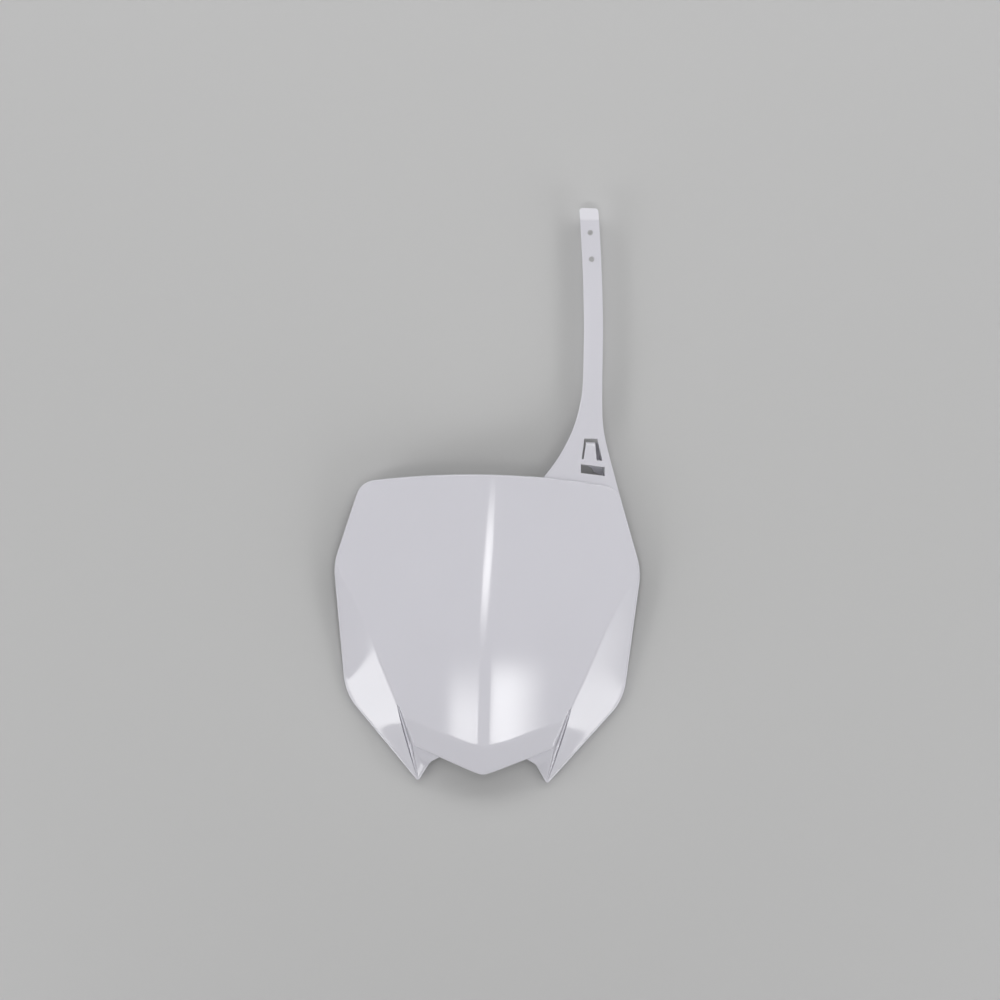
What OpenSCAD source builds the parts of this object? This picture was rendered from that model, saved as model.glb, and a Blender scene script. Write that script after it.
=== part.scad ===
// Front number board for an off-road racing motorcycle.
// One moulded plastic shell with a long handlebar strap at its top right corner.
// It lies on its back: +Z leaves the face, +Y runs from the nose to the strap.
// Lengths are millimetres, angles are degrees.

/* [Outline of the board] */
// Height of the top edge above the board's middle line, at the centre
top_y = 118.8; // [114:0.2:124]
// Sideways place of the top corner
corner_x = 101.2; // [98:0.2:104]
// Height of the top corner
corner_y = 111; // [108:0.2:113]
// Length of the corner's curve, measured along the top edge
corner_run = 10; // [7:0.5:13]
// Sideways place of the shoulder, the widest corner
shoulder_x = 121.2; // [117:0.2:126]
// Height of the shoulder
shoulder_y = 45.8; // [40:0.2:52]
// Radius of the shoulder
shoulder_r = 50; // [35:1:65]
// Sideways place of the hip, where the side turns in to the horn
hip_x = 109.9; // [106:0.1:113]
// Height of the hip
hip_y = -56.4; // [-60:0.2:-52]
// Radius of the hip
hip_r = 45; // [30:1:55]
// Sideways place of the horn's point
horn_x = 50.9; // [49:0.1:53]
// Height of the horn's point
horn_y = -124.6; // [-128:0.2:-121]
// Radius of the horn's point
horn_r = 2; // [1.6:0.1:3]
// Sideways place of the bend in the notch beside the nose
notch_x = 41.6; // [41:0.1:44]
// Height of the bend in the notch
notch_y = -108.9; // [-110:0.1:-107]
// Radius of the bend in the notch
notch_r = 8; // [5:0.5:9]
// Sideways place where the notch meets the nose
notch_end_x = 34; // [31:0.2:36]

/* [Nose] */
// Height of the nose's point
nose_y = -117.7; // [-120:0.1:-116]
// Rise of the nose's edge for each millimetre sideways
nose_rise = 0.422; // [0.4:0.002:0.44]
// Length over which the nose's point is rounded
nose_round = 3.6; // [2:0.1:6]
// Sideways place of the lower corner of the face
jowl_x = 54.9; // [54:0.1:56]
// Height of the fold above the nose, at the centre
fold_y = -95.6; // [-98:0.2:-93]
// Rise of the fold for each millimetre sideways
fold_rise = 0.45; // [0.42:0.01:0.48]
// Length over which the fold is rounded at the centre
fold_round = 14.2; // [10:0.2:18]
// Angle by which the nose rolls back below the fold
nose_roll = 19; // [12:1:24]

/* [Cheeks and horns] */
// Inward bow of the crease between the face and the cheek
crease_bow = 6.6; // [4:0.2:8]
// Height where the horn leaves the face
split_y = -63.2; // [-66:0.2:-60]
// Width of the valley between the horn and the face
valley_w = 4.4; // [3.6:0.1:5.5]
// Depth of the valley below the horn's ridge
valley_depth = 2.8; // [2:0.2:6]
// Height of the web above the ground where it meets the nose
web_h = 12; // [10.5:0.2:13]
// Outward swell of the cheek between its crease and its edge
cheek_swell = 0.9; // [0:0.1:2]
// Depth of the thin groove beside the horn's ridge
groove_depth = 1.2; // [0.4:0.1:1.6]

/* [Form of the face] */
// Height of the middle of the face above the ground
face_h = 38; // [35:0.5:44]
// Height at which the face stands highest
crest_y = 20; // [10:1:30]
// Radius of the face across the board
face_rx = 400; // [360:10:520]
// Radius of the face along the board
face_ry = 800; // [700:20:1100]
// Angle by which each half of the face falls away from the band
half_fall = 3; // [1:0.25:4]
// Width of the raised band down the middle
band_w = 9.5; // [7:0.25:12]
// Crown of the band
band_crown = 0.1; // [0:0.05:0.5]

/* [Wall and rim] */
// Thickness of the moulded wall
wall = 2.2; // [1.8:0.1:2.6]
// Depth of the rim that turns back round the board
rim_depth = 5; // [4:0.25:6]
// Radius of the rounded edge
edge_r = 1.5; // [0.6:0.1:1.7]

/* [Strap] */
// Width of the strap
strap_w = 14.8; // [12:0.2:18]
// Thickness of the strap
strap_t = 2.6; // [2:0.1:3.2]
// Length of the strap above the board's top edge
strap_len = 211.8; // [205:0.2:225]
// Sideways place of the strap's middle at its straightest
strap_x = 79.5; // [77:0.1:82]
// Step from the face's rounded edge down to the strap's root
strap_step = 0.4; // [0.2:0.1:0.6]
// Height of the strap's top above the ground
strap_h = 17; // [15:0.5:22]
// Fall of the bent tip of the strap
tip_fall = 4; // [0:0.25:6]
// Length of the bent tip
tip_len = 10; // [6:0.5:12]
// Diameter of the two holes for the fixing screw
hole_d = 4.2; // [3:0.1:5.5]
// Distance from the strap's end to the far hole
hole_end = 19.5; // [15:0.25:26]
// Distance between the two holes
hole_pitch = 20.8; // [16:0.2:28]

/* [Cable guide in the strap's root] */
// Height of the window's lower edge above the board's top edge
window_y = 13.4; // [12.5:0.1:15]
// Height of the window
window_h = 16.8; // [13:0.2:18]
// Width of the window at its lower edge
window_w = 17; // [14:0.2:18]
// Width of the window at its upper edge
window_top_w = 10.4; // [8:0.2:12]
// Height of the slot below the window
slot_h = 7; // [5:0.2:7.4]
// Width of the slot
slot_w = 19.4; // [15:0.2:20]
// Width of the bridge between the window and the slot
bridge = 4.6; // [3:0.2:5]
// Width of the tongue at its tip
tongue_w = 7; // [5:0.2:7.4]
// Thickness of the tongue
tongue_t = 1.8; // [1.4:0.1:2.2]
// Gap under the strap in which the guide holds a cable
guide_gap = 7; // [5:0.25:8]

/* [Locating pegs] */
// Diameter of a peg that plugs into the bracket on the motorcycle
peg_d = 9; // [7:0.25:11]
// Distance of a peg from the board's centre
peg_x = 34; // [24:0.5:44]
// Height of the pegs on the board
peg_y = 50; // [44:0.5:60]
// Diameter of the boss from which a peg steps down
boss_d = 11.5; // [11.2:0.1:14]
// Height of the boss and of the gusset ribs round it
gusset_h = 16; // [8:0.5:20]

/* [Hidden] */

plastic = [0.83, 0.83, 0.86];
band = band_w / 2;
half_tan = tan(half_fall);

// The skins are a vertical drop apart, which is a little more than the wall on a slope
shell_drop = wall * 1.1;
bevel = 1 - sqrt(0.5);

// Steps along each stretch of the free edge
n_top = 7;
n_corner = 6;
n_upper = 6;
n_shoulder = 4;
n_side = 5;
n_hip = 5;
n_lower = 10;
n_horn = 4;
n_inner = 2;
n_notch = 4;
n_end = 3;
n_across = 5;
n_flank = 5;
n_valley = 5;
n_nose_split = 5;

// Stations where one stretch of the free edge ends and the next begins
i_corner = n_top + 2;
i_corner_mid = i_corner + n_corner / 2;
i_upper = i_corner + n_corner;
i_shoulder = i_upper + n_upper + n_shoulder / 2;
i_side = i_upper + n_upper + n_shoulder;
i_hip = i_side + n_side;
i_lower = i_hip + n_hip;
i_horn = i_lower + n_lower;
i_inner = i_horn + n_horn;
i_notch = i_inner + n_inner;
i_end = i_notch + n_notch + n_end;
n_horn_rows = n_flank + n_valley;
n_cheek_rows = i_horn + 1 - i_shoulder;
n_crease = n_cheek_rows - n_horn_rows;
n_cols = i_corner_mid;

// Steps along and across the strap
n_strap = 30;
n_width = 8;

// Small helpers for points, lines and curves
function unit(v) = v / norm(v);
function inward(u) = [u.y, -u.x];
function cross2(a, b) = a.x * b.y - a.y * b.x;
function crossing(p, u, q, v) = p + u * cross2(q - p, v) / cross2(u, v);
function mix(a, b, t) = a * (1 - t) + b * t;
function clamp(t) = min(1, max(0, t));
function ease(t) = let (s = clamp(t)) s * s * (3 - 2 * s);
function lift(p, z) = [p.x, p.y, z];

// Curves of the outline, each with the inset a
top_run = corner_x - corner_run;
top_r = top_run * (corner_x - top_run / 2) / (top_y - corner_y);
nose_cos = 1 / sqrt(1 + nose_rise * nose_rise);
function top_curve(x, a) = top_y - x * x / (2 * top_r) - a * sqrt(1 + x * x / top_r / top_r);
function nose_curve(x, a) =
    nose_y + nose_rise * (sqrt(x * x + nose_round * nose_round) - nose_round) + a / nose_cos;
function fold_curve(x) = fold_y + fold_rise * (sqrt(x * x + fold_round * fold_round) - fold_round);

// Corners of one half of the outline, clockwise from the top edge
corners = [
    [top_run, top_curve(top_run, 0)],
    [corner_x, corner_y],
    [shoulder_x, shoulder_y],
    [hip_x, hip_y],
    [horn_x, horn_y],
    [notch_x, notch_y],
    [notch_end_x, nose_curve(notch_end_x, 0)]
];
corner_turn = acos(unit(corners[1] - corners[0]) * unit(corners[2] - corners[1]));
corner_r = norm(corners[1] - corners[0]) / tan(corner_turn / 2);
radii = [0, corner_r, shoulder_r, hip_r, horn_r, -notch_r];

function run_dir(i) = unit(corners[i + 1] - corners[i]);
function run_start(i, a) = corners[i] + a * inward(run_dir(i));
function inset_corner(i, a) = crossing(run_start(i - 1, a), run_dir(i - 1), run_start(i, a), run_dir(i));
function inset_radius(i, a) = radii[i] < 0 ? radii[i] - a : max(0.3, radii[i] - a);

// Points of the arc at corner i with the inset a, in n steps
function arc(i, a, n) =
    let (
        from = run_dir(i - 1),
        to = run_dir(i),
        turn = atan2(cross2(to, from), from * to),
        r = inset_radius(i, a),
        start = inset_corner(i, a) - from * r * tan(turn / 2),
        middle = start + inward(from) * r,
        heading = atan2(from.y, from.x)
    )
    [for (k = [0 : n]) let (h = heading - turn * k / n) middle - inward([cos(h), sin(h)]) * r];

// Inner points of the straight run from p to q, in n steps
function run(p, q, n) = n < 2 ? [] : [for (k = [1 : n - 1]) mix(p, q, k / n)];

// Half of the free edge, from the top centre to the nose, inset by a and ending on the nose inset by b
function edge_path(a, b) =
    let (
        corner = arc(1, a, n_corner),
        shoulder = arc(2, a, n_shoulder),
        hip = arc(3, a, n_hip),
        horn = arc(4, a, n_horn),
        notch = arc(5, a, n_notch),
        xs = [for (k = [0 : n_top - 1]) mix(band, corner[0].x, k / n_top)],
        meet = crossing(
            notch[n_notch], run_dir(5),
            [notch_end_x, nose_curve(notch_end_x, b)], [1, nose_rise]
        ),
        last = [meet.x, nose_curve(meet.x, b)]
    )
    concat(
        [for (x = concat([0, band / 2], xs)) [x, top_curve(x, a)]],
        corner,
        run(corner[n_corner], shoulder[0], n_upper),
        shoulder,
        run(shoulder[n_shoulder], hip[0], n_side),
        hip,
        run(hip[n_hip], horn[0], n_lower),
        horn,
        run(horn[n_horn], notch[0], n_inner),
        notch,
        run(notch[n_notch], last, n_end),
        [last]
    );

// Height of the face above the ground, before the nose rolls back
function face_z(x, y) =
    let (
        w = abs(x),
        past = max(0, w - band),
        crown = band_crown * (1 - pow(min(1, w / band), 2))
    )
    face_h + crown - half_tan * past - past * past / (2 * face_rx)
    - pow(y - crest_y, 2) / (2 * face_ry);

// Drop of the nose below the fold
function roll_z(x, y) = tan(nose_roll) * max(0, fold_curve(x) - y) * cos(atan(fold_rise));

function panel_z(x, y) = face_z(x, y) - roll_z(x, y);

// The crease between the face and the cheek, continued as the horn's ridge
function crease_path(edge) =
    let (
        head = edge[i_shoulder],
        foot = edge[i_horn + 1],
        t_split = (head.y - split_y) / (head.y - foot.y)
    )
    [for (k = [0 : n_cheek_rows])
        let (t = k <= n_crease ? t_split * k / n_crease : mix(t_split, 1, (k - n_crease) / n_horn_rows))
        k == 0 ? head : k == n_cheek_rows ? foot : mix(head, foot, t) - [crease_bow * 4 * t * (1 - t), 0]];

// The ridge keeps its height at first and falls faster towards the horn's point
ridge_power = 1.6;
function ridge_z(k, crease) =
    k <= n_crease
        ? face_z(crease[k].x, crease[k].y)
        : mix(
            face_z(crease[n_crease].x, crease[n_crease].y),
            rim_depth,
            pow((k - n_crease) / n_horn_rows, ridge_power)
        );

// Height of the cheek's outer edge: level at the lower side, rising to the shoulder
cheek_rise_power = 1.3;
function cheek_edge_z(y, head) =
    let (rise = pow(clamp((y - hip_y) / (head.y - hip_y)), cheek_rise_power))
    rim_depth + (face_z(head.x, head.y) - rim_depth) * rise;

// Lower corner of the face with the inset a
jowl = [jowl_x, nose_curve(jowl_x, 0)];
flank_lean = 0.36;
flank_dir = unit([-flank_lean, -1]);
function jowl_point(a) =
    let (p = crossing(
        jowl + a * inward(flank_dir), flank_dir,
        jowl + [0, a / nose_cos], [1, nose_rise]
    ))
    [p.x, nose_curve(p.x, a)];

// Side of the face above the valley, from the horn's root to the lower corner, inset by a
fold_share = 0.27;
flank_curve = 0.3;
function flank_path(a, crease) =
    let (
        head = crease[n_crease],
        foot = jowl_point(a)
    )
    [for (k = [0 : n_flank])
        let (
            s = k == 0 ? 0 : mix(fold_share, 1, (k - 1) / (n_flank - 1)),
            y = mix(head.y, foot.y, s)
        )
        k == 0 ? head : k == n_flank ? foot
        : [mix(head.x, foot.x + valley_w, s) - valley_w * pow(s, flank_curve), y]];

// Edge of the nose with the inset a, from the lower corner past the notch to the centre
function nose_path(a, meet_x) =
    let (
        foot = jowl_point(a),
        n_free = n_cols - 2 - n_nose_split
    )
    concat(
        [foot],
        [for (k = [1 : n_nose_split]) let (x = mix(foot.x, meet_x, k / n_nose_split)) [x, nose_curve(x, a)]],
        [for (k = [1 : n_free]) let (x = mix(meet_x, band, k / n_free)) [x, nose_curve(x, a)]],
        [[band / 2, nose_curve(band / 2, a)], [0, nose_curve(0, a)]]
    );

// A patch is a list of rows of points, each zipped to the next; a seam zips two uneven lines by station
function zip(pa, pb, first_a, first_b) =
    let (na = len(pa), nb = len(pb))
    [for (
        i = 0, j = 0, s = 0;
        i + j < na + nb - 2;
        s = (j == nb - 1 || (i < na - 1 && pa[i + 1] <= pb[j + 1])) ? 1 : 0,
        i = i + s,
        j = j + 1 - s
    )
        (j == nb - 1 || (i < na - 1 && pa[i + 1] <= pb[j + 1]))
            ? [first_a + i + 1, first_b + j, first_a + i]
            : [first_b + j + 1, first_b + j, first_a + i]];

function shares(row) = len(row) == 1 ? [0] : [for (k = [0 : len(row) - 1]) k / (len(row) - 1)];
function starts(rows) =
    [for (k = 0, n = 0; k <= len(rows); n = n + (k < len(rows) ? len(rows[k]) : 0), k = k + 1) n];
function flat(lists) = [for (list = lists) each list];

function patch(rows, flip = false) =
    let (
        at = starts(rows),
        faces = flat([for (k = [0 : len(rows) - 2])
            zip(shares(rows[k]), shares(rows[k + 1]), at[k], at[k + 1])])
    )
    [flat(rows), flip ? [for (f = faces) [f[2], f[1], f[0]]] : faces];

function seam(a, b, stations, flip = false) =
    let (faces = zip([for (k = [0 : len(a) - 1]) k], stations, 0, len(a)))
    [concat(a, b), flip ? [for (f = faces) [f[2], f[1], f[0]]] : faces];

function join(patches) =
    let (at = [for (k = 0, n = 0; k < len(patches); n = n + len(patches[k][0]), k = k + 1) n])
    [
        flat([for (p = patches) p[0]]),
        flat([for (k = [0 : len(patches) - 1]) [for (f = patches[k][1]) [for (v = f) v + at[k]]]])
    ];

function mirrored(mesh) = [
    [for (p = mesh[0]) [-p.x, p.y, p.z]],
    [for (f = mesh[1]) [f[2], f[1], f[0]]]
];

// Skin of the board: the outer face (inner = false) or the hollow back (inner = true).
// The outer skin ends at the rounded edge, the back at the inside of the rim.
function skin_inset(inner) = inner ? wall : edge_r;
function skin_drop(inner) = inner ? shell_drop : 0;
function skin_edge(inner) = edge_path(skin_inset(inner), inner ? wall : 0);

// Height of the free edge at station i
function edge_z(i, edge) =
    i <= i_shoulder ? face_z(edge[i].x, edge[i].y)
    : i <= i_inner ? cheek_edge_z(edge[i].y, edge[i_shoulder])
    : mix(rim_depth, web_h, (i - i_inner) / (i_end - i_inner));

// Height of the rim's lower lip at station i
web_lip_depth = 0.6;
web_lip = web_h - shell_drop - web_lip_depth;
function lip_z(i, edge) =
    i <= i_inner ? edge_z(i, edge) - rim_depth : mix(0, web_lip, (i - i_inner) / (i_end - i_inner));

// Depth of the valley at station k of the horn
function valley_share(k) =
    k <= n_flank
        ? sqrt(k == 0 ? 0 : mix(fold_share, 1, (k - 1) / (n_flank - 1)))
        : 1 - (k - n_flank) / n_valley;

// Points of the valley between the horn and the face, each with its height
function valley_path(crease, flank, edge) =
    [for (k = [0 : n_horn_rows])
        let (
            p = k <= n_flank ? flank[k] : mix(flank[n_flank], edge[i_inner], (k - n_flank) / n_valley),
            z = ridge_z(n_crease + k, crease) - valley_depth * valley_share(k)
        )
        k == 0 ? lift(p, ridge_z(n_crease, crease))
        : k == n_horn_rows ? lift(edge[i_inner], edge_z(i_inner, edge))
        : lift(p, z)];

// Main field of the face, from the top edge down to the fold
function face_rows(edge, crease, flank) =
    let (
        right = concat(
            [for (i = [i_corner_mid : i_shoulder]) edge[i]],
            [for (k = [1 : n_crease]) crease[k]],
            [flank[1]]
        ),
        m = len(right) - 1,
        top = [for (j = [0 : n_cols]) edge[j]],
        share = [for (p = top) (p.x - band) / (top[n_cols].x - band)],
        sag = right[m].y - fold_curve(right[m].x),
        fold = [for (j = [0 : n_cols])
            let (s = share[j], x = s < 0 ? top[j].x : mix(band, right[m].x, s))
            j == n_cols ? right[m] : [x, fold_curve(x) + sag * pow(max(0, s), 2)]]
    )
    [for (i = [0 : m])
        let (
            v = (right[0].y - right[i].y) / (right[0].y - right[m].y),
            left = mix(top[2], fold[2], v)
        )
        [for (j = [0 : n_cols])
            let (
                s = share[j],
                sides = mix(left, right[i], s) + mix(top[j], fold[j], v),
                corners4 = mix(mix(top[2], top[n_cols], s), mix(fold[2], fold[n_cols], s), v)
            )
            i == 0 ? top[j]
            : i == m ? fold[j]
            : j == n_cols ? right[i]
            : j < 2 ? mix(top[j], fold[j], v)
            : sides - corners4]];

// The nose, from the fold down to its edge
function nose_rows(fold, flank, nose) =
    [for (i = [0 : n_flank - 1])
        let (
            v = i / (n_flank - 1),
            lead = flank[i + 1] - mix(fold[n_cols], nose[0], v)
        )
        [for (j = [0 : n_cols])
            i == 0 ? fold[j]
            : i == n_flank - 1 ? nose[n_cols - j]
            : j == n_cols ? flank[i + 1]
            : mix(fold[j], nose[n_cols - j], v) + lead * pow(j / n_cols, 2)]];

function face_point(p, drop) = lift(p, face_z(p.x, p.y) - drop);
function nose_point(p, drop) = lift(p, panel_z(p.x, p.y) - drop);

// Border of the face above the valley, the web and the open nose
function face_border(crease, inset, meet_x, fall, drop) =
    let (
        flank = flank_path(inset, crease),
        nose = nose_path(inset, meet_x)
    )
    concat(
        [face_point(flank[0], drop)],
        [lift(flank[1], face_z(flank[1].x, flank[1].y) - fall * fold_share - drop)],
        [for (k = [2 : n_flank]) nose_point(flank[k], drop + fall)],
        [for (j = [1 : n_cols]) nose_point(nose[j], drop + fall)]
    );

// The cheek, whose swell fades where it narrows to the shoulder and to the horn's point
swell_from = 20;
function cheek_rows(edge, crease, drop) =
    [for (k = [0 : n_cheek_rows])
        let (
            a = lift(crease[k], ridge_z(k, crease)),
            b = lift(edge[i_shoulder + k], edge_z(i_shoulder + k, edge)),
            swell = cheek_swell * min(1, norm(b - a) / swell_from)
        )
        k == 0 ? [a - [0, 0, drop]]
        : k == n_cheek_rows ? [b - [0, 0, drop]]
        : [for (j = [0 : n_across])
            let (u = j / n_across)
            j == 0 ? a - [0, 0, drop]
            : j == n_across ? b - [0, 0, drop]
            : mix(a, b, u) + [0, 0, swell * 4 * u * (1 - u) - drop]]];

// Steep inner side of the horn: ridge, thin groove, rib and valley
groove_at = 0.2;
rib_at = 0.45;
function horn_rows(edge, crease, valley, cut, drop) =
    [for (k = [0 : n_horn_rows])
        let (
            a = lift(crease[n_crease + k], ridge_z(n_crease + k, crease)),
            b = valley[k],
            dip = cut * min(1, norm(b - a) / valley_w)
        )
        k == 0 ? [a - [0, 0, drop]]
        : k == n_horn_rows ? [for (i = [i_horn + 1 : i_inner]) lift(edge[i], edge_z(i, edge) - drop)]
        : [
            a - [0, 0, drop],
            mix(a, b, groove_at) - [0, 0, dip + drop],
            mix(a, b, rib_at) - [0, 0, drop - dip / 2],
            b - [0, 0, drop]
        ]];

// Recessed web between the horn and the nose
function web_rows(edge, valley, inset, drop) =
    let (
        last = [for (i = [i_inner : i_end]) lift(edge[i], edge_z(i, edge))],
        n = len(last) - 1,
        head = valley[n_flank]
    )
    [for (r = [0 : n_valley])
        let (
            v = r / n_valley,
            x = mix(head.x, edge[i_end].x, v),
            a = valley[n_flank + r],
            b = [x, nose_curve(x, inset), mix(head.z, web_h, v)]
        )
        r == 0 ? [head - [0, 0, drop]]
        : [for (j = [0 : n])
            let (u = j / n, bow = last[j] - mix(last[0], last[n], u))
            r == n_valley ? last[j] - [0, 0, drop]
            : j == 0 ? a - [0, 0, drop]
            : j == n ? b - [0, 0, drop]
            : mix(a, b, u) + bow * pow(v, 2) - [0, 0, drop]]];

// All patches of one skin of the right half
function skin(inner) =
    let (
        drop = skin_drop(inner),
        edge = skin_edge(inner),
        crease = crease_path(edge),
        flank = flank_path(skin_inset(inner), crease),
        foot = flank_path(inner ? wall : 0, crease),
        nose = nose_path(skin_inset(inner), inner ? edge[i_end].x : edge_path(0, 0)[i_end].x),
        valley = valley_path(crease, foot, edge),
        face = face_rows(edge, crease, flank),
        fold = face[len(face) - 1],
        tip = nose_rows(fold, flank, nose)
    )
    join([
        patch([for (row = face) [for (p = row) face_point(p, drop)]], inner),
        patch(concat(
            [[for (p = fold) face_point(p, drop)]],
            [for (i = [1 : n_flank - 1]) [for (p = tip[i]) nose_point(p, drop)]]
        ), inner),
        patch(cheek_rows(edge, crease, drop), inner),
        patch(horn_rows(edge, crease, valley, inner ? 0 : groove_depth, drop), !inner),
        patch(web_rows(edge, valley, inner ? wall : 0, drop), !inner)
    ]);

// Rounded edge, rim wall and lip along the free edge of the right half
function rim() =
    let (
        outer = edge_path(edge_r, 0),
        middle = edge_path(edge_r * bevel, 0),
        wall_line = edge_path(0, 0),
        back = edge_path(wall, wall)
    )
    patch([for (i = [0 : i_end])
        let (z = edge_z(i, outer), low = lip_z(i, outer))
        [
            lift(outer[i], z),
            lift(middle[i], z - edge_r * bevel),
            lift(wall_line[i], z - edge_r),
            lift(wall_line[i], low),
            lift(back[i], low),
            lift(back[i], edge_z(i, back) - shell_drop)
        ]]);

// Heights of the lip along the open nose, from the notch to the centre
function nose_lip(j) =
    mix(web_lip, panel_z(0, nose_y) - rim_depth, (j - n_nose_split) / (n_cols - n_nose_split));

// Rounded edge, outer wall, lip and inner wall of the nose and of the side above the valley
function nose_rim() =
    let (
        outer_crease = crease_path(edge_path(edge_r, 0)),
        back = edge_path(wall, wall),
        back_crease = crease_path(back),
        end = edge_path(0, 0)[i_end],
        line_edge = face_border(outer_crease, edge_r, end.x, 0, 0),
        line_bevel = face_border(outer_crease, edge_r * bevel, end.x, edge_r * bevel, 0),
        line_wall = face_border(outer_crease, 0, end.x, edge_r, 0),
        line_back = face_border(back_crease, wall, back[i_end].x, 0, shell_drop),
        valley = valley_path(outer_crease, flank_path(0, outer_crease), edge_path(edge_r, 0)),
        valley_back = valley_path(back_crease, flank_path(wall, back_crease), back),
        web = web_rows(edge_path(edge_r, 0), valley, 0, 0),
        web_back = web_rows(back, valley_back, wall, shell_drop),
        foot = nose_path(0, end.x),
        foot_back = nose_path(wall, back[i_end].x),
        open = [for (j = [n_nose_split : n_cols]) j],
        meet = n_flank + n_nose_split,
        closed_at = concat(
            [for (k = [1 : n_flank]) k],
            [for (r = [1 : n_valley]) n_flank + r * n_nose_split / n_valley]
        ),
        open_at = [for (j = open) j == n_nose_split ? meet + 1 : n_flank + j + 0.5],
        lip = [for (j = open) lift(foot[j], nose_lip(j))],
        lip_back = [for (j = open) lift(foot_back[j], nose_lip(j))]
    )
    join([
        patch([for (k = [0 : len(line_edge) - 1])
            k == 0 ? [line_edge[0]] : [line_edge[k], line_bevel[k], line_wall[k]]]),
        seam(
            line_wall,
            concat(
                [for (k = [1 : n_flank]) valley[k]],
                [for (r = [1 : n_valley]) let (row = web[r]) row[len(row) - 1]],
                [
                    lift(edge_path(edge_r * bevel, 0)[i_end], web_h - edge_r * bevel),
                    lift(end, web_h - edge_r)
                ],
                lip
            ),
            concat(closed_at, [meet, meet], open_at),
            true
        ),
        patch([for (k = [0 : len(lip) - 1]) [lip[k], lip_back[k]]]),
        seam(
            line_back,
            concat(
                [for (k = [1 : n_flank]) valley_back[k] - [0, 0, shell_drop]],
                [for (r = [1 : n_valley]) let (row = web_back[r]) row[len(row) - 1]],
                lip_back
            ),
            concat(closed_at, open_at)
        )
    ]);

// The moulded shell: both skins and the rim of the right half, and their mirror image
module shell() {
    half = join([skin(false), skin(true), rim(), nose_rim()]);
    whole = join([half, mirrored(half)]);
    polyhedron(points = whole[0], faces = whole[1], convexity = 10);
}

// Strap: a middle line that leans at its end, and flares that widen it to its root
root_rise = 47;
straight_rise = 106;
flare_rise = 80;
bend_rise = 39;
tip_y = top_y + strap_len;
root_y = shoulder_y + root_rise;
straight_y = top_y + straight_rise;
strap_lean = 6;
strap_lean_power = 1.6;
strap_end_r = 2.6;
flare_top_y = top_y + flare_rise;
flare_left_x = 28.4;
flare_left_power = 2.2;
flare_bend_y = top_y + bend_rise;
flare_slope = 0.3;
flare_soft = 14;
function strap_mid(y) =
    strap_x - strap_lean * pow(max(0, y - straight_y) / (tip_y - straight_y), strap_lean_power);
function strap_half(y) =
    let (up = max(0, y - tip_y + strap_end_r))
    strap_w / 2 - strap_end_r + sqrt(max(0, strap_end_r * strap_end_r - up * up));
function flare_left(y) = flare_left_x * pow(max(0, flare_top_y - y) / flare_rise, flare_left_power);
function flare_right(y) =
    let (down = flare_bend_y - y)
    flare_slope * (down + sqrt(down * down + flare_soft * flare_soft)) / 2;
function strap_left(y) = strap_mid(y) - strap_half(y) - flare_left(y);
function strap_right(y) = strap_mid(y) + strap_half(y) + flare_right(y);

// Height of the strap's front surface: it follows the face at its root, then runs level to the bent tip
level_rise = 9;
level_from = top_y + level_rise;
level_len = 70;
tip_bend_power = 1.2;
function strap_z(x, y) =
    let (past = max(0, y - tip_y + tip_len))
    mix(face_z(x, y) - edge_r - strap_step, strap_h, ease((y - level_from) / level_len))
    - tip_fall * pow(past / tip_len, tip_bend_power);

// Share of the strap's length at row k, with close rows at the root and at both ends of the bent tip
row_power = 1.4;
tip_rows = concat(
    [for (share = [1, 0.75, 0.5]) tip_y - tip_len * share],
    [for (a = [0, 30, 60, 80, 90]) tip_y - strap_end_r * (1 - sin(a))]
);
function strap_rows_y(from) =
    concat([for (k = [0 : n_strap - 1]) mix(from, tip_y - tip_len, pow(k / n_strap, row_power))], tip_rows);

// The root laps under the face along a line that bends round the board's corner
lap_depth = 10;
lap_side = 21;
lap_below = 6;
lap_corner = [2, 8];
root_drop = 1.5;
sag_power = 8;
function strap_grid() =
    let (
        lap_left = [strap_left(top_y) + lap_depth, top_y - lap_depth],
        lap_right = [shoulder_x - lap_side, root_y - lap_below],
        lap_bend = [corner_x, corner_y] - lap_corner,
        lap = [for (j = [0 : n_width])
            let (u = j / n_width)
            mix(mix(lap_left, lap_bend, u), mix(lap_bend, lap_right, u), u)],
        left_y = strap_rows_y(top_y - root_drop),
        right_y = strap_rows_y(root_y),
        m = len(left_y)
    )
    [for (i = [0 : m])
        [for (j = [0 : n_width])
            let (
                u = j / n_width,
                sag = lap[j] - mix(lap_left, lap_right, u),
                k = max(0, i - 1),
                a = [strap_left(left_y[k]), left_y[k]],
                b = [strap_right(right_y[k]), right_y[k]],
                p = i == 0 ? lap[j] : mix(a, b, u) + sag * pow(1 - i / m, sag_power)
            )
            lift(p, strap_z(p.x, p.y))]];

// The strap as a closed band of even thickness
module strap_band() {
    grid = strap_grid();
    m = len(grid) - 1;
    below = [for (row = grid) [for (p = row) p - [0, 0, strap_t]]];
    around = concat(
        grid[0],
        [for (i = [1 : m]) grid[i][n_width]],
        [for (j = [1 : n_width]) grid[m][n_width - j]],
        [for (i = [1 : m]) grid[m - i][0]]
    );
    band_mesh = join([
        patch(grid, true),
        patch(below),
        patch([for (p = around) [p, p - [0, 0, strap_t]]], true)
    ]);
    polyhedron(points = band_mesh[0], faces = band_mesh[1], convexity = 4);
}

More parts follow.
